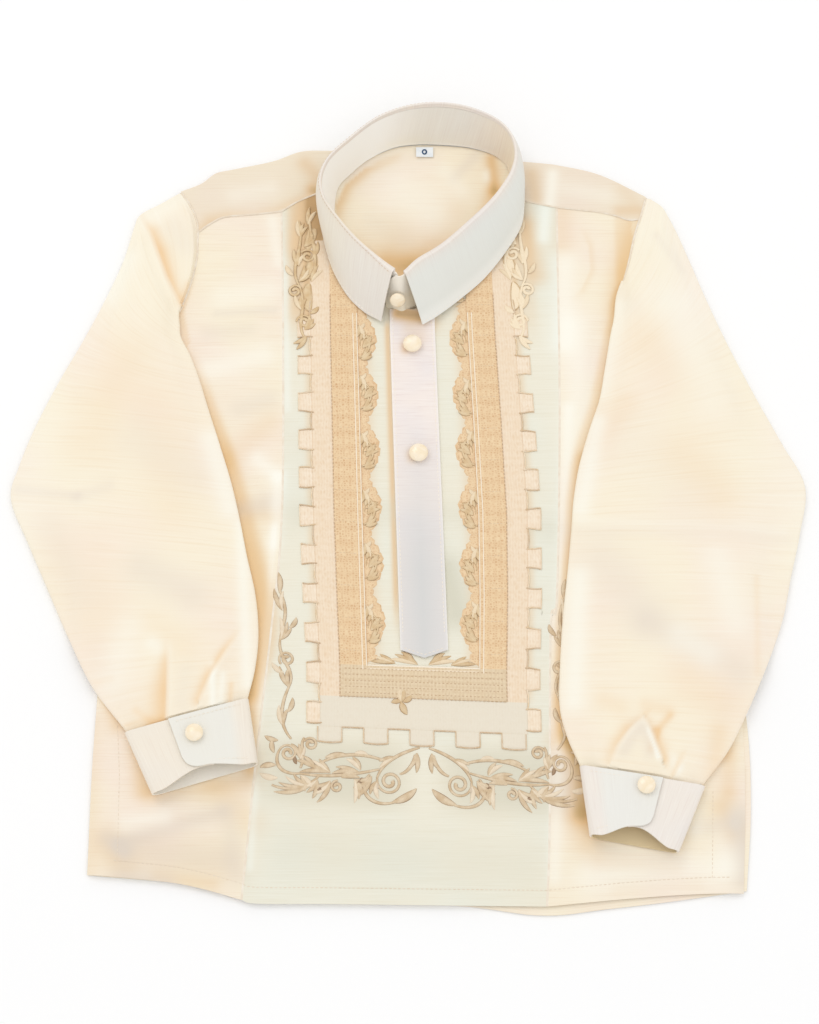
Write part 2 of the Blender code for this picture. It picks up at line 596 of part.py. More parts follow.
def make_yoke():
    """The back yoke on the surface and, past each shoulder fold, a flap on the front."""
    outer, inner, faces = [], [], []

    def add_layer(outline, z_out, z_in, up):
        flat, sources, tris = triangles(outline)
        start = len(outer)
        outer.extend((x, y, z_out) for x, y in flat)
        inner.extend((x, y, z_in) for x, y in flat)
        for corners in tris:
            faces.append(tuple(start + k for k in (corners if up else reversed(corners))))
        place = {source: start + k for k, source in enumerate(sources)}
        return [place[k] for k in range(len(outline))]

    def add_turn(low_ids, high_ids):
        """A half-round fold between the edge of the back layer and the edge of a flap."""
        steps = 4
        rows = [low_ids]
        for step in range(1, steps):
            angle = math.pi * step / steps
            row = []
            for low_id, high_id in zip(low_ids, high_ids):
                low, high = np.array(outer[low_id]), np.array(outer[high_id])
                middle = (low + high) / 2
                out = np.array([TURN_SLANT if middle[0] > 0 else -TURN_SLANT, 1.0, 0])
                out /= np.linalg.norm(out)
                radius = (high[2] - low[2]) / 2
                turn = -math.cos(angle) * np.array([0, 0, 1]) + math.sin(angle) * out
                row.append(len(outer))
                outer.append(tuple(middle + radius * turn))
                inner.append(tuple(middle + (radius - CLOTH) * turn))
            rows.append(row)
        rows.append(high_ids)
        for first, second in zip(rows, rows[1:]):
            for k in range(len(first) - 1):
                faces.append((first[k], second[k], second[k + 1], first[k + 1]))

    gap = SEAM / 2
    armhole_left, armhole_right = line(ARMHOLE_LEFT), line(ARMHOLE_RIGHT)
    turn_left = neck_ring(NECK_CLEAR, LEFT_TURN, LEFT_TURN + 1, 2)[0]
    turn_right = neck_ring(NECK_CLEAR, RIGHT_TURN, RIGHT_TURN + 1, 2)[0]
    fold_left = np.vstack([line(SHOULDER_LEFT, 2), turn_left])
    fold_right = np.vstack([turn_right, line(SHOULDER_RIGHT, 2)])

    def edge_above(armhole, low_y, shift):
        part = armhole[(armhole[:, 1] > low_y) & (armhole[:, 1] < armhole[0, 1] - 1)]
        return part + np.array([shift, 0])

    # Back layer.
    back_neck = neck_ring(0.8, LEFT_TURN + 0.5, RIGHT_TURN - 0.5, 12)
    left_side = edge_above(armhole_left, BACK_YOKE_Y + 2, gap)
    right_side = edge_above(armhole_right, BACK_YOKE_Y + 2, -gap)
    left_foot = np.array([np.interp(-BACK_YOKE_Y, -armhole_left[:, 1], armhole_left[:, 0]) + gap,
                          BACK_YOKE_Y + gap])
    right_foot = np.array([np.interp(-BACK_YOKE_Y, -armhole_right[:, 1], armhole_right[:, 0]) - gap,
                           BACK_YOKE_Y + gap])
    outline = np.vstack([fold_left, back_neck, fold_right, right_side, right_foot, left_foot,
                         left_side[::-1]])
    low_ids = add_layer(outline, 0.0, CLOTH, False)
    low_left = low_ids[:len(fold_left)]
    after = len(fold_left) + len(back_neck)
    low_right = low_ids[after:after + len(fold_right)]

    # Flaps on the front.
    left_neck = neck_ring(NECK_CLEAR, LEFT_TURN, LEFT_NECK, 5)[1:]
    seam = chain(line(YOKE_LEFT, 2), line(YOKE_LEFT_IN, 2)) + np.array([0, gap])
    side = edge_above(armhole_left, YOKE_LEFT["y"][0] + 2, gap)
    seam[0] += (gap, 0)
    flap = np.vstack([fold_left, left_neck + (0, gap), seam[::-1], side[::-1]])
    high_ids = add_layer(flap, BODY_TOP, FRONT_Z, True)
    add_turn(low_left, high_ids[:len(fold_left)])

    right_neck = neck_ring(NECK_CLEAR, RIGHT_NECK, RIGHT_TURN, 5)[:-1]
    seam = chain(line(YOKE_RIGHT, 2), line(YOKE_RIGHT_IN, 2)) + np.array([0, gap])
    side = edge_above(armhole_right, YOKE_RIGHT["y"][0] + 2, -gap)
    seam[0] -= (gap, 0)
    flap = np.vstack([fold_right, side, seam, right_neck + (0, gap)])
    high_ids = add_layer(flap, BODY_TOP, FRONT_Z, True)
    add_turn(low_right, high_ids[:len(fold_right)])
    cloth("yoke", np.array(outer), np.array(inner), faces, "body")


def make_placket():
    along = smooth(np.column_stack([PLACKET["x"], PLACKET["y"], PLACKET["half"]]), 15)
    left = along[:, :2] - np.column_stack([along[:, 2], np.zeros(len(along))])
    right = along[:, :2] + np.column_stack([along[:, 2], np.zeros(len(along))])
    tip = along[-1, :2] - (0, PLACKET_TIP)
    outline = np.vstack([left, [tip], right[::-1], [along[0, :2]]])
    flat, _, faces = triangles(outline, points=along[1:-1, :2])
    low = BODY_TOP + loft(flat) + SEAM
    cloth("placket", np.column_stack([flat, low + STIFF]), np.column_stack([flat, low]), faces, "collar")


# --- Collar ----------------------------------------------------------------------------------

def collar_frames(shares):
    """Neck, fold, edge and bulge at shares of the way round, with the level outward directions."""
    at = shares * SECTIONS
    ring = np.column_stack([COLLAR[key] for key in ("neck_x", "neck_y", "fold_x", "fold_y", "fold_z")])
    now = spline(ring, at, True)
    along = spline(ring, at + 0.15, True) - spline(ring, at - 0.15, True)
    outward = np.column_stack([-along[:, 3], along[:, 2], np.zeros(len(at))])
    outward /= np.linalg.norm(outward, axis=1)[:, None]
    rows = np.column_stack([COLLAR[key] for key in ("edge_x", "edge_y", "edge_z", "bulge")])
    edge = spline(rows, np.clip(at, 0, SECTIONS - 1))
    step = LAP_STEP * soft_step((shares - 0.90) / 0.07)
    neck = np.column_stack([now[:, :2], np.full(len(at), CLOTH + SEAM)]) + step[:, None] * outward
    fold = now[:, 2:5] + step[:, None] * outward
    return neck, fold, edge[:, :3], edge[:, 3], outward


def make_stand():
    shares = np.linspace(-STAND_LAP, 1 + STAND_LAP, COLLAR_SECTIONS)
    neck, fold, _, _, outward = collar_frames(shares)
    past = np.maximum(-shares, shares - 1 + STAND_LAP / 2) / (1.5 * STAND_LAP)
    height = STAND_TOP - 0.5 * np.clip(past, 0, 1) ** 2
    rows = []
    for share in (0.0, 0.33, 0.67, 1.0):
        rows.append(neck + (fold - neck) * (share * height)[:, None])
    grid = np.array(rows)
    side = normals_of(grid)
    flip = np.sign(np.sum(side[1] * outward))
    outer = grid + STIFF * side * flip
    outer[0, :, 2] = grid[0, :, 2]
    faces = grid_faces(*grid.shape[:2])
    if flip > 0:
        cloth("collar_stand", outer.reshape(-1, 3), grid.reshape(-1, 3), faces, "collar")
    else:
        cloth("collar_stand", grid.reshape(-1, 3), outer.reshape(-1, 3), faces, "collar")


def make_fall():
    shares = np.linspace(0.0, (SECTIONS - 1) / SECTIONS, COLLAR_SECTIONS)
    neck, fold, edge, bulge, outward = collar_frames(shares)
    up = np.array([0, 0, 1.0])
    # The fold reaches further out where the stand's ends lap and where the stand leans forward.
    lap = LAP_STEP * (1 - soft_step(shares / 0.06))
    forward = np.maximum(0, -np.sum((fold - neck) * outward, axis=1))
    reach = FOLD_REACH + 0.08 * forward + lap
    rows = [fold + outward * (out * reach)[:, None] + rise * up for out, rise in FOLD_PROFILE]
    start = rows[-1]
    for share in (0.3, 0.6, 0.82, 1.0):
        swell = bulge[:, None] * math.sin(math.pi * share) * (outward + 0.4 * up)
        rows.append(start + (edge - start) * share + swell)
    grid = np.array(rows)
    side = normals_of(grid)
    if np.sum(side[3] * outward) < 0:
        side = -side
        faces = [tuple(reversed(face)) for face in grid_faces(*grid.shape[:2])]
    else:
        faces = grid_faces(*grid.shape[:2])
    inner = grid - STIFF * side
    cloth("collar_fall", grid.reshape(-1, 3), inner.reshape(-1, 3), faces, "collar")


# --- Sleeves and cuffs -----------------------------------------------------------------------

def sleeve_ring(row, turn_in, turn_out, side_sign, thin):
    """One ring of a sleeve: the fold at the inner edge, the upper layer, the fold at the outer edge and
    the lower layer. turn_in and turn_out point out of the sleeve, square to its two edges. thin is 0 for
    the outer face of the wall and its thickness for the inner face."""
    in_x, in_y, out_x, out_y, bow, rise, puff = row
    start = np.array([in_x, in_y])
    run = np.array([out_x, out_y]) - start
    width = np.linalg.norm(run)
    run /= width
    side = np.array([-run[1], run[0]]) * side_sign
    radius = CLOTH + rise / 2
    first = radius / width
    upper = np.linspace(first, 1 - first, UPPER_POINTS)
    lower = upper[-1] + (first - upper[-1]) * np.linspace(0, 1, LOWER_POINTS)

    def place(shares):
        return start + shares[:, None] * width * run - (bow * 4 * shares * (1 - shares))[:, None] * side

    def turn(share, angles, outwards):
        centre = place(np.array([share]))
        middle = support(centre, NARROW_SLOPE)[0] + radius
        points = []
        for angle in np.radians(angles):
            flat = centre[0] + (radius - thin) * math.cos(angle) * outwards
            points.append((*flat, middle + (radius - thin) * math.sin(angle)))
        return points

    flat, flat_low = place(upper), place(lower)
    arch = np.sin(math.pi * upper) ** 0.6
    close = support(flat, NARROW_SLOPE) + 2 * radius
    full = np.maximum(support(flat, WIDE_SLOPE) + 2 * radius, close) + puff * arch
    full += folds(flat, SLEEVE_FOLDS) * arch
    ends = soft_step(np.minimum(upper, 1 - upper) * 5)
    top = close * (1 - ends) + full * ends - thin
    low = support(flat_low, NARROW_SLOPE) + thin
    ring = turn(first, (-45, 0, 45), turn_in)
    ring += [(x, y, z) for (x, y), z in zip(flat, top)]
    ring += turn(1 - first, (45, 0, -45), turn_out)
    ring += [(x, y, z) for (x, y), z in zip(flat_low, low)]
    return ring


def edge_normals(points, side):
    """Unit vectors square to a line of points in plan: side 1 is to the right of its run, -1 to the left."""
    along = np.gradient(points, axis=0)
    normals = side * np.column_stack([along[:, 1], -along[:, 0]])
    return normals / np.linalg.norm(normals, axis=1)[:, None]


def make_sleeve(name, rows):
    keys = ("in_x", "in_y", "out_x", "out_y", "bow", "rise", "puff")
    rings = smooth(np.column_stack([rows[key] for key in keys]), SLEEVE_RINGS)
    side_sign = math.copysign(1, -rows["in_x"][0])
    turns_in = edge_normals(rings[:, 0:2], -side_sign)
    turns_out = edge_normals(rings[:, 2:4], side_sign)
    outer, inner = (
        np.array([sleeve_ring(*ring, side_sign, thin) for ring in zip(rings, turns_in, turns_out)])
        for thin in (0.0, CLOTH)
    )
    faces = grid_faces(*outer.shape[:2], around=True)
    if side_sign < 0:
        faces = [tuple(reversed(face)) for face in faces]
    cloth(name, outer.reshape(-1, 3), inner.reshape(-1, 3), faces, "sleeve")


def unit(vector):
    return vector / max(np.linalg.norm(vector), 1e-9)


def cuff_path(lap_end, gap):
    """Middle line of the cuff's wall across its width: from the hidden lower end, round the back, to
    the upper end. Gives shares of the width, heights, bulge past the edge and whether it is the front."""
    low = COVER_Z + STIFF / 2
    under = low + STIFF + gap
    over = under + STIFF + CUFF_SEAT
    points = [(share, under, 0.0, 1.0) for share in np.linspace(lap_end + CUFF_LAP, 0.06, 6)]
    for angle in np.radians([55, 0, -55]):
        points.append((0.0, low + (under - low) / 2 * (1 + math.sin(angle)), -math.cos(angle), 0.5))
    points += [(share, low, 0.0, 0.0) for share in np.linspace(0.06, 0.94, 6)]
    for angle in np.radians([-55, 0, 55]):
        points.append((1.0, low + (over - low) / 2 * (1 + math.sin(angle)), math.cos(angle), 0.5))
    points += [(share, over, 0.0, 1.0) for share in np.linspace(0.94, lap_end, 9)]
    return points


def cuff_row(cuff, level):
    """The middle line placed at one level of the cuff, from 0 at the sleeve to 1 at the mouth."""
    corners = {key: np.array(cuff[key], float) for key in ("top_in", "top_out", "mouth_in", "mouth_out")}
    outer_end = corners["top_out"] * (1 - level) + corners["mouth_out"] * level
    inner_end = corners["top_in"] * (1 - level) + corners["mouth_in"] * level
    to_sleeve = unit(corners["top_out"] + corners["top_in"] - corners["mouth_out"] - corners["mouth_in"])
    width = np.linalg.norm(inner_end - outer_end)
    gap = cuff["gap"][0] * (1 - level) + cuff["gap"][1] * level
    turn = (gap / 2 + STIFF) / width
    row = []
    for share, z, bulge, front in cuff_path(cuff["lap_end"], gap):
        arch = math.sin(math.pi * share)
        along = turn + share * (1 - 2 * turn) + bulge * turn
        drawn = cuff["drawn"] * level * front * max(arch, 0) ** 1.5
        flat = outer_end + (inner_end - outer_end) * along + to_sleeve * drawn
        row.append((*flat, z + CUFF_SWELL * arch * front))
    return row


def cuff_top(cuff, point):
    """Height of a cuff's front at a point in plan."""
    top_in, top_out, mouth_in, mouth_out = (
        np.array(cuff[key]) for key in ("top_in", "top_out", "mouth_in", "mouth_out"))
    down = (mouth_in + mouth_out - top_in - top_out) / 2
    level = (point - (top_in + top_out) / 2) @ down / (down @ down)
    outer_end = top_out * (1 - level) + mouth_out * level
    run = top_in * (1 - level) + mouth_in * level - outer_end
    share = (point - outer_end) @ run / (run @ run)
    gap = cuff["gap"][0] * (1 - level) + cuff["gap"][1] * level
    return COVER_Z + 3 * STIFF + gap + CUFF_SEAT + CUFF_SWELL * math.sin(math.pi * share)


def make_cuff(name, cuff):
    grid = np.array([cuff_row(cuff, level) for level in CUFF_LEVELS])
    # The free corner of the upper end is rounded: the columns beside it stop short of the mouth.
    away = np.linalg.norm(grid[-1] - grid[-1, -1], axis=1)
    length = np.linalg.norm(grid[-1] - grid[0], axis=1)
    in_corner = (away < CUFF_CORNER) & (np.arange(len(away)) > len(away) - 6)
    short = CUFF_CORNER - np.sqrt(CUFF_CORNER**2 - np.where(in_corner, CUFF_CORNER - away, 0) ** 2)
    grid = grid[0] + (grid - grid[0]) * (1 - short / length)[:, None]
    side = -normals_of(grid)
    faces = [tuple(reversed(face)) for face in grid_faces(*grid.shape[:2])]
    outer, inner = grid + side * STIFF / 2, grid - side * STIFF / 2
    cloth(name, outer.reshape(-1, 3), inner.reshape(-1, 3), faces, "collar")


# --- Buttons and label -----------------------------------------------------------------------

def make_button(name, centre, direction, scale=1.0):
    direction = unit(np.array(direction, float))
    first = unit(np.cross((0.0, 1.0, 0.2), direction))
    second = np.cross(direction, first)
    centre = np.array(centre, float)
    points, faces = [centre], []
    for radius, height in zip(BUTTON["radius"], BUTTON["height"]):
        for k in range(BUTTON_SIDES):
            angle = 2 * math.pi * k / BUTTON_SIDES
            turn = math.cos(angle) * first + math.sin(angle) * second
            points.append(centre + scale * (radius * turn + height * direction))
    points.append(centre + scale * BUTTON_TOP * direction)
    rings = len(BUTTON["radius"])
    for k in range(BUTTON_SIDES):
        after = (k + 1) % BUTTON_SIDES
        faces.append((0, 1 + after, 1 + k))
        for ring in range(rings - 1):
            low, high = 1 + ring * BUTTON_SIDES, 1 + (ring + 1) * BUTTON_SIDES
            faces.append((low + k, low + after, high + after, high + k))
        last = 1 + (rings - 1) * BUTTON_SIDES
        faces.append((last + k, last + after, len(points) - 1))
    made = add_object(name, points, faces, "pearl")
    made.data.shade_smooth()


def make_buttons():
    placket_top = BODY_TOP + SEAM + STIFF
    for number, (x, y) in enumerate(PLACKET_BUTTONS, 1):
        height = placket_top + loft(np.array([[x, y]]))[0] + SEAM
        make_button(f"button_placket_{number}", (x, y, height), (0, 0, 1))
    neck, fold, _, _, _ = collar_frames(np.array([0.995]))
    rise = (fold - neck)[0]
    out = unit(np.cross(rise, (-1.0, 0, 0)))
    make_button("button_collar", neck[0] + 0.40 * rise + (STIFF + 2 * SEAM) * out, out, COLLAR_BUTTON_SIZE)
    for name, place in CUFF_BUTTONS.items():
        height = cuff_top(CUFFS[name], np.array(place)) + SEAM
        make_button(name.replace("cuff", "button_cuff"), (*place, height), (0, 0, 1), CUFF_BUTTON_SIZE)


def make_label():
    left, right, low, high = LABEL.values()
    flat, _, faces = triangles(np.array([(left, low), (right, low), (right, high), (left, high)]))
    under = np.column_stack([flat, np.full(len(flat), CLOTH + SEAM)])
    cloth("size_label", under + (0, 0, CLOTH), under, faces, "label")


def main():
    for item in list(bpy.data.objects):
        bpy.data.objects.remove(item, do_unlink=True)
    make_back()
    make_fronts()
    make_yoke()
    make_placket()
    make_stand()
    make_fall()
    make_sleeve("sleeve_left", SLEEVE_LEFT)
    make_sleeve("sleeve_right", SLEEVE_RIGHT)
    for name, cuff in CUFFS.items():
        make_cuff(name, cuff)
    make_buttons()
    make_label()


main()
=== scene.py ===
import math

import bpy
import numpy as np
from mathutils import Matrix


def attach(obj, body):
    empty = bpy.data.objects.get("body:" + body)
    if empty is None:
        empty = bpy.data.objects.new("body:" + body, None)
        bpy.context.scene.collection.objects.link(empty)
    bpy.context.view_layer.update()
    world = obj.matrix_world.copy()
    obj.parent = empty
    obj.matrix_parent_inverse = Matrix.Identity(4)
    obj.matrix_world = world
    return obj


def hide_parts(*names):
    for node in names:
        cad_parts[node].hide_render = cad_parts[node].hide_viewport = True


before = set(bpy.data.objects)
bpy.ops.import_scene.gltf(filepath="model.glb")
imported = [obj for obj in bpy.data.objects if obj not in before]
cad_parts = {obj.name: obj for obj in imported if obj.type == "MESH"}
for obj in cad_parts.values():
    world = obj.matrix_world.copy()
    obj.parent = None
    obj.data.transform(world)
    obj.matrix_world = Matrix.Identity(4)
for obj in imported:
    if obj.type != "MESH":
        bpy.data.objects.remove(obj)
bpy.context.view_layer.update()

# Lengths are in millimetres up to the last step, where a mesh is written in metres.


# camera, floor and light
camSettings = dict(tilt=20.0, distance=1.6, pixel=0.00055, longSide=1024, sensor=36.0,
    near=0.05, far=20)
camTilt = math.radians(camSettings["tilt"])
camera = bpy.data.objects.new("camera", bpy.data.cameras.new("camera"))
camera.location = (0, -camSettings["distance"] * math.sin(camTilt),
    camSettings["distance"] * math.cos(camTilt))
camera.rotation_euler = (camTilt, 0, 0)
camera.data.sensor_width = camSettings["sensor"]
sensorPixels = camSettings["sensor"] * camSettings["distance"] / camSettings["pixel"]
camera.data.lens = sensorPixels / camSettings["longSide"]
camera.data.clip_start = camSettings["near"]
camera.data.clip_end = camSettings["far"]
bpy.context.scene.collection.objects.link(camera)
bpy.context.scene.camera = camera
bpy.context.scene.view_settings.view_transform = "Standard"

lightSettings = dict(
    sky=0.9,
    # place, size, power and colour of each soft box
    boxes=[((-1.2, 1.5, 2.4), 1.6, 12.0, "fffaf2"), ((1.6, -0.6, 2.6), 2.2, 7.0, "f4f8ff")],
)


def linear(code):
    # sRGB hex to linear: ((c + 0.055) / 1.055) ^ 2.4 above 0.04045, c / 12.92 below
    parts = np.array([int(code[k:k + 2], 16) / 255 for k in (0, 2, 4)])
    parts = np.where(parts > 0.04045, ((parts + 0.055) / 1.055) ** 2.4, parts / 12.92)
    return (*parts.tolist(), 1.0)


def addNode(tree, kind, settings=None, links=None):
    # a shader node with its settings (socket or property by name) and what is plugged into it
    made = tree.nodes.new(kind)
    for key, value in (settings or {}).items():
        if isinstance(key, int) or key in made.inputs:
            made.inputs[key].default_value = value
        else:
            setattr(made, key, value)
    for key, source in (links or {}).items():
        tree.links.new(source, made.inputs[key])
    return made


def waveScale(pitch):
    # a Wave node's stripes lie 2 pi / 20 / scale metres apart
    return 2 * math.pi / 20 / (pitch * 0.001)


def newMaterial(name, settings):
    material = bpy.data.materials.new(name)
    material.use_nodes = True
    tree = material.node_tree
    shader = tree.nodes["Principled BSDF"]
    for key, value in settings.items():
        shader.inputs[key].default_value = value
    return material, tree, shader


def mapped(tree, value, low, high, top=1.0):
    # the value's run from low to high spread over 0 to top, and held inside it
    made = addNode(tree, "ShaderNodeMapRange", {"From Min": low, "From Max": high, "To Max": top},
        {"Value": value})
    return made.outputs[0]


def mixed(tree, share, first, second):
    # first * (1 - share) + second * share; each colour is a hex code or another node's output
    made = addNode(tree, "ShaderNodeMix", {"data_type": "RGBA"}, {0: share})
    for key, source in ((6, first), (7, second)):
        if isinstance(source, str):
            made.inputs[key].default_value = linear(source)
        else:
            tree.links.new(source, made.inputs[key])
    return made.outputs[2]


def toned(tree, colour, look):
    # the colour mixed on towards the look's warm, cool and light by the channels of the tone attribute, which
    # carry painted shade (warm and cool) and painted highlight as well as the pieces' own tints
    tone = addNode(tree, "ShaderNodeAttribute", {"attribute_name": "tone"})
    split = addNode(tree, "ShaderNodeSeparateColor", {}, {0: tone.outputs[0]})
    for channel, key in enumerate(("warm", "cool", "light")):
        colour = mixed(tree, split.outputs[channel], colour, look[key])
    return colour, split


def dress(tree, shader, colour, height, settings):
    # plugs in the colour, and a bump with these settings made from the height
    bump = addNode(tree, "ShaderNodeBump", settings, {"Height": height})
    tree.links.new(colour, shader.inputs["Base Color"])
    tree.links.new(bump.outputs[0], shader.inputs["Normal"])


sky = bpy.data.worlds.new("studioSky")
sky.use_nodes = True
sky.node_tree.nodes["Background"].inputs[0].default_value = linear("ffffff")
sky.node_tree.nodes["Background"].inputs[1].default_value = lightSettings["sky"]
bpy.context.scene.world = sky
for number, (place, size, power, tint) in enumerate(lightSettings["boxes"]):
    lamp = bpy.data.lights.new(f"softBox{number}", "AREA")
    lamp.size = size
    lamp.energy = power
    lamp.color = linear(tint)[:3]
    holder = bpy.data.objects.new(f"softBox{number}", lamp)
    holder.location = place
    aim = -np.array(place)
    holder.rotation_euler = (math.atan2(math.hypot(aim[0], aim[1]), -aim[2]), 0,
        math.atan2(-aim[0], aim[1]))
    bpy.context.scene.collection.objects.link(holder)

floorSettings = dict(reach=4, drop=0.0003)
# seamless paper: matt, near white
paperLook, _, _ = newMaterial("seamlessPaper", {"Base Color": linear("fbfbfb"), "Roughness": 0.95})
floorMesh = bpy.data.meshes.new("paperFloor")
floorCorners = [(x * floorSettings["reach"], y * floorSettings["reach"], -floorSettings["drop"])
    for x, y in ((-1, -1), (1, -1), (1, 1), (-1, 1))]
floorMesh.from_pydata(floorCorners, [], [(0, 1, 2, 3)])
floorMesh.materials.append(paperLook)
paperFloor = bpy.data.objects.new("paperFloor", floorMesh)
bpy.context.scene.collection.objects.link(paperFloor)


# curves and heights, the same formulas as the solids
def spline(values, at, closed=False):
    # Catmull-Rom through rows of values, read at the row positions in at
    rows = len(values)
    if closed:
        base = np.floor(at).astype(int)
        picks = [(base + step) % rows for step in (-1, 0, 1, 2)]
    else:
        values = np.vstack([2 * values[0] - values[1], values, 2 * values[-1] - values[-2]])
        at = np.clip(at, 0, rows - 1) + 1
        base = np.minimum(np.floor(at).astype(int), rows - 1)
        picks = [base - 1, base, base + 1, base + 2]
    t = (at - base)[:, None]
    a, b, c, d = (values[pick] for pick in picks)
    return 0.5 * (2 * b + (c - a) * t + (2 * a - 5 * b + 4 * c - d) * t**2
        + (3 * b - a - 3 * c + d) * t**3)


def smooth(values, count):
    values = np.asarray(values, float)
    return spline(values, np.linspace(0, len(values) - 1, count))


def curve(rows, perSpan=12):
    return smooth(rows, (len(rows) - 1) * perSpan + 1)


def softStep(value):
    value = np.clip(value, 0, 1)
    return value * value * (3 - 2 * value)


def between(first, second, share):
    return first * (1 - share) + second * share


def bell(value, middle, width, power=2):
    # exp(-((value - middle) / width)^power)
    return np.exp(-((value - middle) / width) ** power)


def unit(vectors):
    return vectors / np.linalg.norm(vectors, axis=1)[:, None]


def leftOf(along):
    # the directions along turned a quarter to the left
    return np.column_stack([-along[:, 1], along[:, 0]])


def flatTop(height):
    return lambda points: np.full(len(points), height)


def distanceTo(points, path):
    # shortest distance of many points to the pieces of a polyline, worked out piece by piece
    best = np.full(len(points), 1e9)
    for start, end in zip(path[:-1], path[1:]):
        run = end - start
        share = np.clip((points - start) @ run / max(run @ run, 1e-9), 0, 1)
        best = np.minimum(best, np.linalg.norm(points - start - share[:, None] * run, axis=1))
    return best


def inside(points, outline):
    # even-odd test: the number of edges crossed on the way to the right
    odd = np.zeros(len(points), bool)
    for a, b in zip(outline, np.roll(outline, -1, axis=0)):
        crosses = (a[1] > points[:, 1]) != (b[1] > points[:, 1])
        rise = b[1] - a[1] if b[1] != a[1] else 1.0
        odd ^= crosses & (points[:, 0] < a[0] + (points[:, 1] - a[1]) * (b[0] - a[0]) / rise)
    return odd


def outsideDistance(points, outline):
    ring = np.vstack([outline, outline[:1]])
    return np.where(inside(points, outline), 0, distanceTo(points, ring))


def strokes(points, rows):
    # sum of strength * exp(-(distance to the stroke / width)^2) over the strokes of a table
    total = np.zeros(len(points))
    for x1, y1, x2, y2, strength, width in rows:
        start, run = np.array([x1, y1]), np.array([x2 - x1, y2 - y1])
        share = np.clip((points - start) @ run / max(run @ run, 1e-9), 0, 1)
        away = np.linalg.norm(points - start - share[:, None] * run, axis=1)
        total += strength * np.exp(-((away / width) ** 2))
    return total


def glow(points, rows, side):
    # one-sided stroke along a line of rows (x, y, strength, width): strength * exp(-(distance / width)^2)
    # on the given side of it (1 left of its run, -1 right), ending within a millimetre on the other
    rows = np.array(rows, float)
    best, total = np.full(len(points), 1e9), np.zeros(len(points))
    for start, end in zip(rows[:-1], rows[1:]):
        run, away = end[:2] - start[:2], points - start[:2]
        share = np.clip(away @ run / (run @ run), 0, 1)
        distance = np.linalg.norm(away - share[:, None] * run, axis=1)
        strength, width = start[2] + (end[2] - start[2]) * share, start[3] + (end[3] - start[3]) * share
        width = np.where(side * (run[0] * away[:, 1] - run[1] * away[:, 0]) > 0, width, 1.0)
        total = np.where(distance < best, strength * np.exp(-((distance / width) ** 2)), total)
        best = np.minimum(best, distance)
    return total


armholeLeft = np.array([(-130.5, 193.5), (-124.5, 184), (-121, 174), (-120.5, 162), (-121, 150),
    (-124, 136), (-129, 121), (-137, 104), (-147, 86), (-159, 68)], float)
armholeRight = np.array([(135, 190), (132, 179), (128, 166), (123, 144), (117, 122), (122, 106),
    (137, 86), (160, 68)], float)
sideLeft = np.array([(-163, 20), (-166, -50), (-167.7, -108), (-169, -150), (-169.4, -203.5)], float)
sideRight = np.array([(166, 20), (172, -50), (178, -118), (178, -166), (175.3, -213.5)], float)
backSideRight = np.array([(166, 20), (173, -50), (180.5, -118), (181, -166), (177, -212)], float)
hemFrontLeft = np.array([(-169.4, -203.5), (-131, -207), (-111, -210.5), (-88, -217)], float)
hemFrontCentre = np.array([(-88, -217), (-80, -219), (-42, -219.2), (37, -220.2), (72, -220.6)], float)
hemFrontRight = np.array([(72, -220.6), (114, -216.5), (150, -214), (175.3, -213.5)], float)
hemBack = np.array([(-169.4, -203.5), (-111, -209), (-80, -217.5), (20, -219.5), (69, -225),
    (104, -221.5), (134, -218), (177, -212)], float)
seamLeft = np.array([(-73, 181.5), (-71, 107), (-70, -4), (-75, -70), (-81, -133), (-88, -217)], float)
seamRight = np.array([(84, 184), (83.5, 60), (80, -52), (76.5, -66), (74, -179), (72, -220.6)], float)
yokeLeft = np.array([(-120.7, 168), (-113, 174), (-105, 178), (-89, 179.5), (-73, 181.5)], float)
yokeLeftIn = np.array([(-73, 181.5), (-64, 187.5), (-53.5, 192.5)], float)
yokeRight = np.array([(131.2, 176.5), (125, 176), (118, 178.5), (108, 181), (96, 182.5), (84, 184)],
    float)
yokeRightIn = np.array([(84, 184), (72, 186.5), (60, 190)], float)
shoulderLeft = np.array([(-130.5, 193.5), (-119, 198.5), (-111, 205), (-101, 207.5), (-78, 212.8),
    (-62, 219), (-45, 219.6)], float)
shoulderRight = np.array([(76, 211.5), (86, 210), (109, 204), (135, 190)], float)

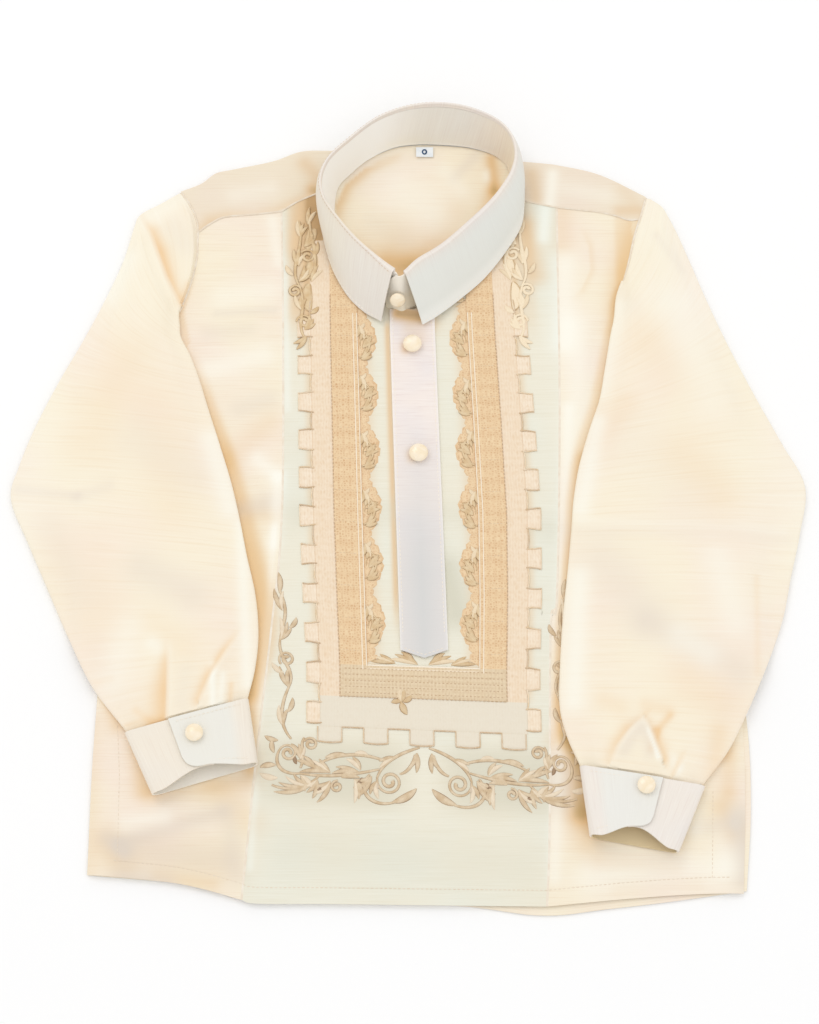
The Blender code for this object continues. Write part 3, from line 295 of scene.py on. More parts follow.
# collar sections: neck x, y; fold x, y, z; free edge x, y, z; bulge
collarRows = np.array([
    (-5.5, 120.5, -8, 136, 24, -16, 112, 5.4, 0.8),
    (-17, 128, -19.3, 145, 24, -25.5, 118, 4.6, 0.8),
    (-28, 140, -30.6, 156, 24, -35, 128, 4.6, 0.9),
    (-36.5, 155, -40.2, 168, 24.5, -43.5, 144, 4.8, 1.2),
    (-41, 170, -47.5, 179, 25, -48.5, 162, 5, 1.8),
    (-42.5, 184, -49.8, 191, 25, -50, 181, 5, 2.4),
    (-40.5, 197, -45.5, 204, 24.5, -47, 199.5, 4.6, 2.6),
    (-33, 206, -34, 216.5, 23.5, -37, 212, 4, 2.6),
    (-24, 214, -20, 229, 22.5, -25.5, 222, 3.4, 2.4),
    (-10, 221.5, -5, 236.5, 22, -9, 229.5, 2.2, 2.2),
    (5, 223.8, 11, 239.6, 22, 7, 231.5, 2, 2.2),
    (20, 223.4, 27, 238.7, 22, 24, 231, 2, 2.2),
    (34, 222, 41, 234, 22.5, 39.5, 228.5, 2.2, 2.2),
    (47, 218, 51.5, 227, 23.5, 52.5, 221.5, 3.6, 2.4),
    (55, 211.5, 57.6, 218, 24.5, 60.5, 210.5, 4.4, 2.4),
    (57.5, 202, 59.6, 207.5, 25, 64.5, 197, 4.8, 2.2),
    (56, 190, 57.5, 197, 25, 65.5, 184.5, 5, 1.8),
    (51.5, 177, 52, 187, 24.5, 63.5, 171, 5, 1.4),
    (43.5, 162, 44.5, 177, 24.5, 55.5, 156.5, 4.8, 1),
    (31, 146.5, 31.7, 164, 24, 42.5, 139, 4.6, 0.9),
    (17.5, 133.5, 17.6, 151, 24, 28.5, 125.5, 5.4, 0.8),
    (5, 124.5, 4, 142, 24, 16, 115, 6.4, 0.8),
    (-2.5, 121, -4.2, 135.8, 24, 7.5, 109.3, 6.8, 0.8),
])

# sleeve rings: inner edge x, y; outer edge x, y; bow; rise at the edges; puff in the middle
sleeveLeftRows = np.array([
    (-130, 121.5, -132, 193.3, 8.5, 0.8, 0.3),
    (-130.5, 118.5, -142.5, 186.5, 4, 0.8, 0.8),
    (-130.5, 114.5, -153, 180, -1, 0.8, 1),
    (-129.5, 109, -155.5, 172.5, -5, 1.2, 4.2),
    (-128, 101.5, -160.5, 153, -9, 1.2, 4.6),
    (-122.5, 91, -169, 132, -9, 1.2, 4.2),
    (-117.5, 78, -182, 104, -6, 1.2, 3.8),
    (-112, 60, -196, 76, -3, 1.2, 3.4),
    (-105, 38, -208, 48.5, 0, 1.2, 3.2),
    (-98, 15, -216, 25, 0, 1.2, 3),
    (-93, -6, -219.3, 7, 0, 1.2, 3),
    (-88.5, -28, -209, -18, 0, 1.2, 3.2),
    (-83.5, -50, -197, -45, 0, 1.2, 3.6),
    (-81.5, -72, -184.5, -73, 0, 1.2, 3.8),
    (-83, -91, -170.5, -101, 0, 1.2, 4),
    (-86.8, -108, -151.5, -126, 0, 1.4, 3.6),
])
sleeveRightRows = np.array([
    (120.5, 136, 136.8, 190.2, -0.8, 1, 0.4),
    (116.8, 125.5, 143, 185.5, -4.5, 1.2, 2.4),
    (115.3, 113, 145.5, 181, -6, 1.4, 4.4),
    (113, 104, 151, 169, -9, 1.2, 4.4),
    (111, 94, 158, 151, -9, 1.2, 4),
    (108.5, 80, 167.5, 126, -7, 1.2, 3.8),
    (105.5, 64, 179, 98, -4, 1.2, 3.6),
    (99.5, 46, 193, 67, -2, 1.2, 3.2),
    (93.5, 25, 206.5, 39, 0, 1.2, 3),
    (90, 5, 218, 14, 0, 1.2, 3),
    (88.5, -12, 214, -13, 0, 1.2, 3),
    (86, -36, 208, -38, 0, 1.2, 3.2),
    (83, -62, 202.5, -62, 0, 1.2, 3.6),
    (81, -88, 193, -88, 0, 1.2, 3.8),
    (80.3, -112, 181, -115, 0, 1.2, 4),
    (84, -129, 170, -136.5, 0, 1.2, 4.2),
    (90.5, -144.5, 156, -155, 0, 1.4, 3.6),
])

layers = dict(backTop=1.0, frontZ=1.35, frontTop=2.35, coverZ=2.9, seam=0.35, stiff=1.2, slack=0.5,
    plateau=9.0, narrowSlope=12.0, wideSlope=26.0, loftMiddle=-20.0, loftReach=172.0, loftFade=60.0)

cuffs = {"left": dict(topIn=(-86.5, -109.2), topOut=(-151.5, -127.5), mouthIn=(-80.7, -144.8),
    mouthOut=(-135.8, -161.5), lapEnd=0.34, drawn=6.0, gap=(3.6, 6.0), button=(-114.2, -129.5)),
    "right": dict(topIn=(90.8, -146.2), topOut=(156.0, -156.9), mouthIn=(95.2, -184.0),
    mouthOut=(141.0, -192.5), lapEnd=0.32, drawn=8.0, gap=(3.6, 6.5), button=(124.9, -158.0)),}
cuffShape = dict(lap=0.30, corner=9.0, seat=0.45, swell=0.8)

# soft folds of the front: both ends, height (negative in a trough) and half width
frontFolds = [
    (-154, -182, -93, -164, -0.8, 9), (-100, -205, -96, -150, 1.4, 14), (-40, -210, -30, -150, 1.1, 18),
    (40, -212, 44, -150, 1.2, 16), (110, -205, 100, -196, 1.3, 14), (163, -200, 168, -170, 0.8, 8),
    (-90, 150, -84, 90, 0.9, 10), (100, 150, 95, 60, 0.9, 8),
    (-82, 20, -70, -10, 0.9, 5), (-80, -20, -84, -110, 0.8, 5), (-66, -150, -64, -205, 0.5, 5),
    (-104, 70, -78, 48, -0.5, 6), (-96, 30, -74, 12, 0.6, 6), (-20, -178, -14, -216, 0.4, 6),
    (0, -170, 4, -214, -0.4, 5), (58, -172, 60, -214, -0.4, 5), (66, 40, 70, -20, 0.4, 6),
]


def loft(points):
    # height of the front over its flat place: slack plus folds, none under sleeves, collar or cuffs
    height = layers["slack"] + np.maximum(strokes(points, frontFolds), -layers["slack"])
    height *= softStep((layers["loftReach"] - np.abs(points[:, 1] - layers["loftMiddle"]))
        / layers["loftFade"])
    for rows, side in ((sleeveLeftRows, -1), (sleeveRightRows, 1)):
        edge = np.interp(-points[:, 1], -rows[:, 1], rows[:, 0])
        clear = softStep(((edge - points[:, 0]) * side - 3) / 12)
        height *= np.where(points[:, 1] < rows[-1, 1], 1, clear)
    for cuff in cuffs.values():
        corners = np.array([cuff[key] for key in ("topIn", "topOut", "mouthOut", "mouthIn")])
        height *= softStep((outsideDistance(points, corners) - 4) / 14)
    return height


hemLine = np.vstack([curve(hemFrontLeft, 6), curve(hemFrontCentre, 6)[1:], curve(hemFrontRight, 6)[1:]])
hemTurn = dict(height=9.4, rise=0.22, soft=0.8)


def frontTop(points):
    # the front's upper face, a little higher where the hem is turned up twice
    over = points[:, 1] - np.interp(points[:, 0], hemLine[:, 0], hemLine[:, 1])
    turned = softStep((hemTurn["height"] - over) / hemTurn["soft"])
    return layers["frontTop"] + loft(points) + hemTurn["rise"] * turned


bodyOutline = np.vstack([curve(armholeLeft, 3)[9:], curve(sideLeft, 3), curve(hemBack, 3)[1:],
    curve(backSideRight, 3)[::-1][1:], curve(armholeRight, 3)[12:][::-1]])


def support(points, width):
    # height of what lies beneath a sleeve: the body, then a soft slope down to the table
    away = outsideDistance(points, bodyOutline)
    return layers["coverZ"] * softStep(1 - (away - layers["plateau"]) / width)


# meshes; a crease sharper than this angle is shaded as an edge
sharpFrom = math.radians(50)


def makeObject(name, points, quads, look, uv, tone):
    # a mesh from millimetre points and quads, with its uv in millimetres and a tone colour per point that
    # carries painted shade and highlight
    mesh = bpy.data.meshes.new(name)
    mesh.from_pydata((np.asarray(points) * 0.001).tolist(), [], np.asarray(quads).tolist())
    mesh.materials.append(look)
    corners = np.empty(len(mesh.loops), np.int32)
    mesh.loops.foreach_get("vertex_index", corners)
    layer = mesh.uv_layers.new(name="weave")
    layer.data.foreach_set("uv", (uv[corners] * 0.001).ravel())
    colours = np.column_stack([np.clip(tone, 0, 2), np.ones(len(points))])
    mesh.attributes.new("tone", "FLOAT_COLOR", "POINT").data.foreach_set("color", colours.ravel())
    mesh.shade_smooth()
    mesh.set_sharp_from_angle(angle=sharpFrom)
    mesh.update()
    made = bpy.data.objects.new(name, mesh)
    bpy.context.scene.collection.objects.link(made)
    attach(made, "root")
    return made


def gridQuads(rows, columns, around=False):
    ids = np.arange(rows * columns).reshape(rows, columns)
    right = np.roll(ids, -1, axis=1) if around else ids[:, 1:]
    left = ids if around else ids[:, :-1]
    return np.stack([left[:-1], right[:-1], right[1:], left[1:]], axis=-1)


def gridNormals(grid, around=False):
    # unit cross product of the steps along the columns and along the rows
    if around:
        across = np.roll(grid, -1, axis=1) - np.roll(grid, 1, axis=1)
    else:
        across = np.gradient(grid, axis=1)
    normal = np.cross(across, np.gradient(grid, axis=0))
    return normal / np.maximum(np.linalg.norm(normal, axis=2), 1e-9)[..., None]


def runs(grid, axis):
    # length run along a grid from its first row or column
    steps = np.linalg.norm(np.diff(grid, axis=axis), axis=2)
    return np.concatenate([np.zeros_like(np.take(steps, [0], axis)), np.cumsum(steps, axis=axis)],
        axis=axis)


def wall(grid, thick, around=False, flip=False, keep=None, uv=None, tone=None):
    # a closed wall of cloth: the grid as outer face, the grid less thick * normal as inner face, rims between
    rows, columns = grid.shape[:2]
    normal = gridNormals(grid, around)
    quads = gridQuads(rows, columns, around)
    quads = quads[keep] if keep is not None else quads.reshape(-1, 4)
    if flip:
        normal, quads = -normal, quads[:, ::-1]
    count = rows * columns
    ends = np.stack([quads, np.roll(quads, -1, axis=1)], axis=-1).reshape(-1, 2)
    keys = np.sort(ends, axis=1) @ np.array([count, 1])
    _, place, times = np.unique(keys, return_inverse=True, return_counts=True)
    rim = ends[times[place.reshape(-1)] == 1]
    rims = np.stack([rim[:, 1], rim[:, 0], rim[:, 0] + count, rim[:, 1] + count], axis=-1)
    points = np.vstack([grid.reshape(-1, 3), (grid - thick * normal).reshape(-1, 3)])
    faces = np.vstack([quads, quads[:, ::-1] + count, rims])
    if uv is None:
        uv = np.stack([runs(grid, 1), runs(grid, 0)], axis=-1)
    uv = np.tile(uv.reshape(-1, 2), (2, 1))
    tone = np.tile(tone.reshape(-1, 3), (2, 1)) if tone is not None else np.zeros((2 * count, 3))
    return points, faces, uv, tone


def joinParts(parts):
    # several (points, faces, uv, tone) as one, with face numbers moved on
    starts = np.cumsum([0] + [len(part[0]) for part in parts[:-1]])
    faces = [part[1] + start for part, start in zip(parts, starts)]
    return (np.vstack([part[0] for part in parts]), np.vstack(faces),
        np.vstack([part[2] for part in parts]), np.vstack([part[3] for part in parts]))


def makePiece(name, parts, look, *nodes, slot=None):
    points, faces, uv, tone = joinParts(parts)
    used = np.unique(faces)
    fresh = np.zeros(len(points), int)
    fresh[used] = np.arange(len(used))
    made = makeObject(name, points[used], fresh[faces], look, uv[used], tone[used])
    if nodes:
        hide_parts(*nodes)
    print(name, len(faces) * 2, "triangles")
    return made


def panel(left, right, low, high, columns, rows):
    # x, y of a cut panel: columns run between its side edges, rows from its lower edge to its upper one
    u, v = np.meshgrid(np.linspace(0, 1, columns), np.linspace(0, 1, rows))
    orderLeft, orderRight = left[np.argsort(left[:, 1])], right[np.argsort(right[:, 1])]
    orderLow, orderHigh = low[np.argsort(low[:, 0])], high[np.argsort(high[:, 0])]
    y = between(low[:, 1].mean(), high[:, 1].mean(), v)
    for _ in range(8):
        x = between(np.interp(y, orderLeft[:, 1], orderLeft[:, 0]),
            np.interp(y, orderRight[:, 1], orderRight[:, 0]), u)
        y = between(np.interp(x, *orderLow.T), np.interp(x, *orderHigh.T), v)
    return np.stack([x, y], axis=-1)


def raised(flat, height):
    return np.concatenate([flat, height.reshape(*flat.shape[:2], 1)], axis=-1)


# woven cloth looks
def clothLook(name, look):
    # plain weave with slubs: colour = base, patches of a second tint, streaks of thick threads across, then
    # the warm, cool and light tones of the piece's tone attribute (painted shade, cool tint and painted
    # highlight);
    # bump height = 0.25 * threads + slubs
    material, tree, shader = newMaterial(name, {"Roughness": look.get("rough", 0.62),
        "Specular IOR Level": 0.25, "Sheen Weight": 0.12, "Sheen Roughness": 0.5})
    place = addNode(tree, "ShaderNodeUVMap", {"uv_map": "weave"}).outputs[0]
    along, across = look["slubLength"], look["slubWidth"]
    if look.get("upright"):
        along, across = across, along
    stretch = addNode(tree, "ShaderNodeMapping", {"Scale": (1000 / along, 1000 / across, 1)},
        {"Vector": place})
    slub = addNode(tree, "ShaderNodeTexNoise", {"Scale": 1.0, "Detail": 3.0, "Roughness": 0.6},
        {"Vector": stretch.outputs[0]})
    thick, fine = mapped(tree, slub.outputs[0], 0.53, 0.72), mapped(tree, slub.outputs[0], 0.47, 0.28)
    broad = addNode(tree, "ShaderNodeTexNoise", {"Scale": 1000 / look["patchSize"], "Detail": 1.5},
        {"Vector": place})
    patch = mapped(tree, broad.outputs[0], 0.42, 0.66, look["patch"][1])
    colour = mixed(tree, patch, look["base"], look["patch"][0])
    for share, key in ((thick, "slub"), (fine, "lightSlub")):
        amount = addNode(tree, "ShaderNodeMath", {"operation": "MULTIPLY", 1: look[key][1]}, {0: share})
        colour = mixed(tree, amount.outputs[0], colour, look[key][0])
    colour, split = toned(tree, colour, look)
    # a warm tone above 1 goes on to the brown of the deepest shade
    colour = mixed(tree, mapped(tree, split.outputs[0], 1.0, 2.0), colour, look.get("deep", "b08850"))
    weave = addNode(tree, "ShaderNodeTexWave", {"Scale": waveScale(look["thread"]), "Distortion": 1.5,
        "Detail": 1.0, "bands_direction": "X" if look.get("upright") else "Y"}, {"Vector": place})
    height = addNode(tree, "ShaderNodeMath", {"operation": "MULTIPLY_ADD", 1: 0.25},
        {0: weave.outputs[1], 2: thick})
    dress(tree, shader, colour, height.outputs[0], {"Strength": look["bump"], "Distance": 0.0002})
    return material


# real threads lie about 0.35 mm apart, too fine to show, so the cloth's are drawn 1.1 to 1.2 mm apart

# in each look, warm and deep are colours of painted shade, light of painted highlight, and cool of a painted
# grey shade on body and sleeves and a cool tint elsewhere
# jusi silk organza, plain weave: cream, slightly sheer, with thick slub threads every few millimetres
bodyLook = clothLook("jusiOrganza", dict(base="f5ead3", patch=("f4e4d6", 0.75), patchSize=55,
    slub=("e6cdae", 0.3), lightSlub=("fbf6e8", 0.3), slubLength=32, slubWidth=0.8, thread=1.2, bump=0.12,
    warm="e8c696", cool="dfd2c3", light="fbf8ec", deep="b4924e"))
# the same cloth seen through one layer over the white table: paler and a little green
sheerLook = clothLook("sheerOrganza", dict(base="ece7d5", patch=("e8e8da", 0.8), patchSize=60,
    slub=("dccdae", 0.2), lightSlub=("f6f3e6", 0.3), slubLength=30, slubWidth=0.8, thread=1.2, bump=0.12,
    warm="e6c8a0", cool="d6d3c0", light="f4f7ee"))
# two layers of it folded into a sleeve
sleeveLook = clothLook("jusiSleeve", dict(base="f7eed9", patch=("f6e8d8", 0.9), patchSize=70,
    slub=("eedabb", 0.3), lightSlub=("fbf7ea", 0.3), slubLength=50, slubWidth=1.2, thread=1.2, bump=0.1,
    warm="efcb9c", cool="e8dccd", light="faf9ee"))
# interlined jusi of collar, placket and cuffs: whiter and stiffer, mauve and grey slubs
stiffLook = clothLook("interlinedJusi", dict(base="ebe1d6", patch=("e7dfd9", 0.9), patchSize=35,
    slub=("d8c2b8", 0.35), lightSlub=("faf5ee", 0.4), slubLength=28, slubWidth=0.8, thread=1.1, bump=0.1,
    upright=True, warm="f1e0b4", cool="e3e6e0", light="fbf9f3"))
placketLook = clothLook("placketJusi", dict(base="f3e8e1", patch=("ece4e2", 0.9), patchSize=30,
    slub=("dcc8c4", 0.3), lightSlub=("faf4f0", 0.4), slubLength=18, slubWidth=0.9, thread=1.1, bump=0.1,
    warm="e2c094", cool="d6d5d3", light="fbf9f6", deep="a98a5c"))

# the border's own frame: across, and up from its foot
border = dict(footY=-107.9, drop=0.0375, level=200.0, tanIn=29.9, tanOut=44.8, lightOut=55.7,
    merlonOut=62.7, tanFoot=17.9, lightFoot=17.4, merlonFoot=25.6, top=252.0, first=-15.2, pitch=22.65,
    merlon=11.4, sideMerlons=11, footShift=-1.2, footPitch=24.6, footMerlon=12.9, footMerlons=5,
    lightRaise=0.3, tanRaise=0.75, thick=0.5)
# the border's middle line and spread at heights over its foot
borderCourse = np.array([(-30, 7.9, 1), (15, 7.4, 1), (60, 6.9, 1.035), (107, 5.9, 1.057),
    (160, 4, 1.045), (213, 1.8, 1.03), (260, 0.4, 1.02)])

# clumps along the inner edge of the tan band
trimSettings = dict(pitch=33.4, count=7, first=36.0)


def skewed(points):
    # from the border's own frame (across, up from its foot) into the shirt's
    across, up = np.asarray(points, float).T
    middle, spread = (np.interp(up, borderCourse[:, 0], borderCourse[:, k]) for k in (1, 2))
    y = border["footY"] + up - border["drop"] * across * (1 - up / border["level"])
    return np.column_stack([middle + across * spread, y])


def inBorder(points):
    # the same frame read back: across and up of points on the shirt
    x, y = points.T
    up = y - border["footY"]
    for _ in range(2):
        middle, spread = (np.interp(up, borderCourse[:, 0], borderCourse[:, k]) for k in (1, 2))
        across = (x - middle) / spread
        up = (y - border["footY"] + border["drop"] * across) / (1 + border["drop"] * across
            / border["level"])
    return across, up


# back panel
backSettings = dict(columns=70, rows=70, seamY=128.0)
backLeft = np.vstack([curve(armholeLeft, 6), curve(sideLeft, 6)])
backRight = np.vstack([curve(armholeRight, 6), curve(backSideRight, 6)])
backTopLine = np.array([(-200, backSettings["seamY"]), (200, backSettings["seamY"])], float)
backFlat = panel(backLeft, backRight, curve(hemBack, 6), backTopLine, backSettings["columns"],
    backSettings["rows"])
backHigh = np.full(backFlat.shape[:2], layers["backTop"])
backPanel = makePiece("backPanelCloth", [wall(raised(backFlat, backHigh), 0.9)], bodyLook, "back_panel",
    slot="body")

# front panels
frontSettings = dict(thick=0.6, rows=190, sideColumns=60, centreColumns=150)


def neckRing(away, first, last, count):
    ring = collarRows[:, :2]
    at = np.linspace(first, last, count)
    along = spline(ring, at + 0.02, True) - spline(ring, at - 0.02, True)
    return spline(ring, at, True) + away * unit(leftOf(along))


def shadeBySleeve(points, rows, side, spans):
    # painted ochre shade beside a sleeve's inner edge, its strength and width read off spans (y, strength,
    # width)
    edge = np.interp(-points[:, 1], -rows[:, 1], rows[:, 0])
    away = (edge - points[:, 0]) * side
    spans = np.array(spans, float)
    strength = np.interp(-points[:, 1], -spans[:, 0], spans[:, 1])
    width = np.interp(-points[:, 1], -spans[:, 0], spans[:, 2])
    return strength * np.exp(-np.maximum(away / width, 0) ** 4) * (away > -6)


# spans of painted ochre shade beside the left and right sleeves
shadeBesideLeftSleeve = [(100, 0, 4), (70, 0.5, 5), (40, 0.8, 7), (20, 0.8, 8), (4, 0.75, 8), (-25, 0.95, 10),
    (-60, 0.95, 11), (-85, 0.85, 9), (-106, 0.6, 7), (-112, 0, 7)]
shadeBesideRightSleeve = [(118, 0.3, 4), (80, 0.55, 5), (40, 0.7, 6), (10, 0.7, 5), (-40, 0.8, 3.5), (-90, 0.85, 3.5),
    (-115, 0.8, 4), (-140, 0.45, 6), (-150, 0, 8)]
# strokes of tone on the front, painted warm shade, cool shade and highlight: both ends, strength and half
# width
frontWarmShade = [(-88, -90, -84, -146, 0.8, 5), (-78, 52, -100, 30, 0.25, 8), (-92, 2, -76, -4, 0.35, 6),
    (-144, -132, -141, -158, 0.6, 6), (-160, -108, -156, -122, 0.5, 5), (-135, -160, -84, -153, 0.35, 6),
    (-104, -156, -84, -175, 0.3, 9), (-160, -186, -150, -200, 0.35, 8), (-132, -205, -104, -209, 0.35, 5),
    (-169, -120, -168, -200, 0.2, 5), (-60, 186, -64, 160, 0.4, 7), (-52, 190, -51, 152, 1.1, 5),
    (-60, 150, -62, 120, 0.2, 7), (-150, -190, -100, -197, 0.25, 12), (87, 182, 87, 160, 0.3, 7),
    (171, -135, 169, -158, 0.35, 5), (160, -132, 168, -138, 0.4, 4), (171, -160, 172, -205, 0.15, 5),
    (90, -122, 91, -170, 1.15, 7), (92, -172, 94, -186, 0.45, 9), (66, 172, 72, 142, 0.6, 7),
    (166, -168, 172, -180, 0.6, 7), (80, -130, 88, -128, 0.6, 7), (97, 30, 96, 0, 0.6, 5),
    (100, -197, 140, -200, 0.2, 5), (-6, 119, 10, 112, 0.9, 6), (110, -212, 150, -208, 0.15, 5),
    (-60, 40, -50, 20, 0.1, 10)]
frontCool = [(-150, -190, -98, -196, 0.4, 10), (-150, -208, -130, -212, 0.8, 8),
    (174, -172, 176, -205, 0.8, 7), (-109, 118, -76, 120, 0.35, 2.5), (-113, 106, -90, 108, 0.25, 5),
    (-78, 66, -95, 60, 0.3, 6), (-76, 4, -96, 0, 0.5, 6), (-60, -2, -34, 2, 0.4, 9),
    (-100, -170, -152, -186, 0.45, 5), (-160, -184, -150, -192, 0.5, 5), (-96, -170, -90, -205, 0.3, 6),
    (60, -10, 84, -12, 0.3, 8), (-20, 0, 30, -2, 0.3, 8), (20, -34, 26, -60, 0.9, 9),
    (140, -180, 170, -176, 0.4, 5), (-60, -190, 60, -200, 0.25, 16)]
frontLight = [(-84, 30, -74, 20, 0.6, 5), (-70, 145, -68, 60, 0.5, 2.2), (-74, -10, -84, -200, 0.45, 2.2),
    (80, 208, 76, 165, 0.8, 4), (-105, 128, -80, 132, 0.4, 8), (-112, 84, -82, 92, 0.5, 8),
    (-130, -172, -150, -176, 0.45, 5), (88, 60, 80, -100, 0.5, 4), (-78, 176, -74, 150, 0.5, 4),
    (88, 150, 86, 100, 0.6, 8), (80, -130, 76, -205, 0.5, 4), (150, -165, 150, -178, 0.5, 5),
    (95, -205, 165, -200, 0.5, 10), (170, -170, 168, -200, 0.3, 8), (-72, 20, -74, -20, 0.6, 4),
    (93, 110, 96, 0, 0.5, 10)]
# glows, each with its side and rows: the pocket of shade under the right armhole, the curved crease below
# the right yoke, and the shade beside the left armhole
frontGlows = [
    (-1, [(131, 176, 0.45, 8), (127, 163, 0.6, 9), (121.5, 144, 0.75, 8), (116, 122, 0.6, 6),
        (113, 107, 0.3, 5)]),
    (1, [(97, 173, 0, 3), (102.5, 160, 0.25, 2.5), (103.3, 145, 0.25, 2.5), (97.4, 132, 0.2, 2.5),
        (90, 126, 0, 3)]),
    (-1, [(-120.7, 168, 0.1, 3), (-122, 140, 0.15, 4), (-128, 119, 0.5, 4), (-124, 100, 0.4, 5)])]


# painted warm shade cast round the embroidery: strength, distance across and width beside the trims and the
# merlons, strengths beside the left and right shoulder scrolls, warm and cool strengths under the foot, and
# the shade at the placket's left edge as strength, distance left of x = 0 at y = 100, slope and width
castSettings = dict(trims=(0.42, 26, 3.6), merlons=(0.45, 57, 2.2), shoulders=(0.6, 0.35),
    foot=(0.25, 0.7), placket=(0.95, 12.2, 0.032, 1.7), mostWarm=1.6)


def frontTone(points):
    # painted shade: warm = strokes + glows + casts; cool = strokes + shade under the foot;
    # painted highlight: light = strokes * (1 - 0.7 warm)
    warm = strokes(points, frontWarmShade)
    besideLeft = shadeBySleeve(points, sleeveLeftRows, -1, shadeBesideLeftSleeve)
    warm += besideLeft + shadeBySleeve(points, sleeveRightRows, 1, shadeBesideRightSleeve)
    for side, rows in frontGlows:
        warm += glow(points, rows, side)
    across, up = inBorder(points)
    away = np.abs(across)
    along = softStep((up + 4) / 12)
    trims, merlons = (strength * bell(away, middle, width)
        for strength, middle, width in (castSettings["trims"], castSettings["merlons"]))
    warm += trims * along + merlons * along
    underFoot = np.exp(-((away - 48) / 38) ** 6 - ((up + 43) / 18) ** 4)
    warm += castSettings["foot"][0] * underFoot
    shoulders = np.where(across < 0, *castSettings["shoulders"]) * bell(away, 58, 11, 6)
    warm += shoulders * softStep((up - 202) / 30)
    x, y = points.T
    strength, edgeX, slope, width = castSettings["placket"]
    shade = strength * bell(x + edgeX - slope * (100 - y), 0, width)
    warm += shade * softStep((y + 75) / 30) * softStep((116 - y) / 8)
    cool = strokes(points, frontCool) + castSettings["foot"][1] * underFoot
    light = strokes(points, frontLight) * (1 - 0.7 * np.clip(warm, 0, 1))
    return np.column_stack([np.clip(warm, 0, castSettings["mostWarm"]), np.clip(cool, 0, 1),
        np.clip(light, 0, 1)])


def frontPiece(name, node, left, right, low, high, columns, look, slot, turned=None):
    flat = panel(left, right, low, high, columns, frontSettings["rows"])
    points = flat.reshape(-1, 2)
    height = frontTop(points).reshape(flat.shape[:2])
    if turned is not None:  # the outermost columns turn down to the back's edge, as the side seam does
        fall = np.array([1.1, 0.45, 0.1])
        place = np.arange(3) if turned < 0 else -1 - np.arange(3)
        height[:, place] -= fall * softStep((112 - flat[:, place, 1]) / 10)
    tone = frontTone(points).reshape(*flat.shape[:2], 3)
    shell = wall(raised(flat, height), frontSettings["thick"], uv=flat, tone=tone)
    return makePiece(name, [shell], look, node, slot=slot)


armLowLeft = curve(armholeLeft, 6)
armLowLeft = armLowLeft[armLowLeft[:, 1] < yokeLeft[0, 1]]
armLowRight = curve(armholeRight, 6)
armLowRight = armLowRight[armLowRight[:, 1] < yokeRight[0, 1]]
frontLeft = frontPiece("frontLeftCloth", "front_side_left", np.vstack([armLowLeft, curve(sideLeft, 6)]),
    curve(seamLeft), curve(hemFrontLeft, 6), curve(yokeLeft, 6), frontSettings["sideColumns"], bodyLook,
    "body", -1)
frontRight = frontPiece("frontRightCloth", "front_side_right", curve(seamRight),
    np.vstack([armLowRight, curve(sideRight, 6)]), curve(hemFrontRight, 6), curve(yokeRight, 6),
    frontSettings["sideColumns"], bodyLook, "body", 1)
# the neck edge, kept under the fall of the collar
neckLine = np.array([(-50, 187), (-47, 176), (-44.5, 165), (-41, 154), (-34, 142), (-26, 133), (-17, 126),
    (-8, 121), (-1, 118.5), (6, 118.5), (14, 123), (24, 131.5), (34, 141), (44, 152), (52, 162),
    (57, 172), (59.5, 181), (60, 188)], float)
centreTop = np.vstack([curve(yokeLeftIn, 6), neckLine, curve(yokeRightIn, 6)[::-1]])
frontCentre = frontPiece("frontCentreCloth", "front_centre", curve(seamLeft), curve(seamRight),
    curve(hemFrontCentre, 6), centreTop, frontSettings["centreColumns"], sheerLook, "sheer")

# yoke
yokeSettings = dict(away=3.2, thick=0.7, backRows=34, turnRows=7, flapRows=34, columns=230)
# strokes and glows of painted shade and highlight inside the neck, on the back layer, and on the front flaps
yokeTones = dict(backWarm=[(-12, 150, 8, 144, 0.85, 9), (12, 160, 4, 150, 0.4, 8),
    (26, 180, 22, 166, 0.45, 8), (-6, 166, -2, 150, 0.25, 12), (47, 216, 49, 196, 0.95, 4),
    (48, 194, 42, 176, 0.7, 5), (28, 160, 16, 150, 0.4, 8), (-30, 160, -22, 150, 0.3, 8)],
    backGlow=[(-41, 178, 0.4, 4), (-41.5, 186, 0.8, 5), (-36, 199, 0.8, 4.5), (-24, 210, 0.7, 4),
    (-8, 217, 0.3, 3)], backCool=[(38, 218, 26, 204, 0.35, 4), (-20, 176, -4, 166, 0.2, 8)],
    backLight=[(-6, 196, 22, 176, 0.45, 15), (44, 207, 44, 203, 0.6, 2.5), (20, 208, 30, 196, 0.3, 5)],
    flapWarm=[(-60, 212, -50, 200, 0.6, 5), (-56, 196, -50, 194, 0.9, 4), (70, 205, 72, 190, 0.6, 5),
    (120, 182, 131, 182, 0.6, 4), (122, 196, 128, 188, 0.25, 5)],
    flapGlow=[(-120, 168.5, 0.5, 4), (-113, 174, 0.75, 6), (-104, 178, 0.5, 5), (-89, 179.5, 0.25, 4),
    (-76, 182, 0.4, 4), (-64, 187.5, 0.6, 4), (-54, 192, 0.6, 4)],
    flapLight=[(-100, 192, -80, 196, 0.3, 6), (82, 205, 80, 186, 0.7, 4), (90, 196, 112, 192, 0.3, 6)])


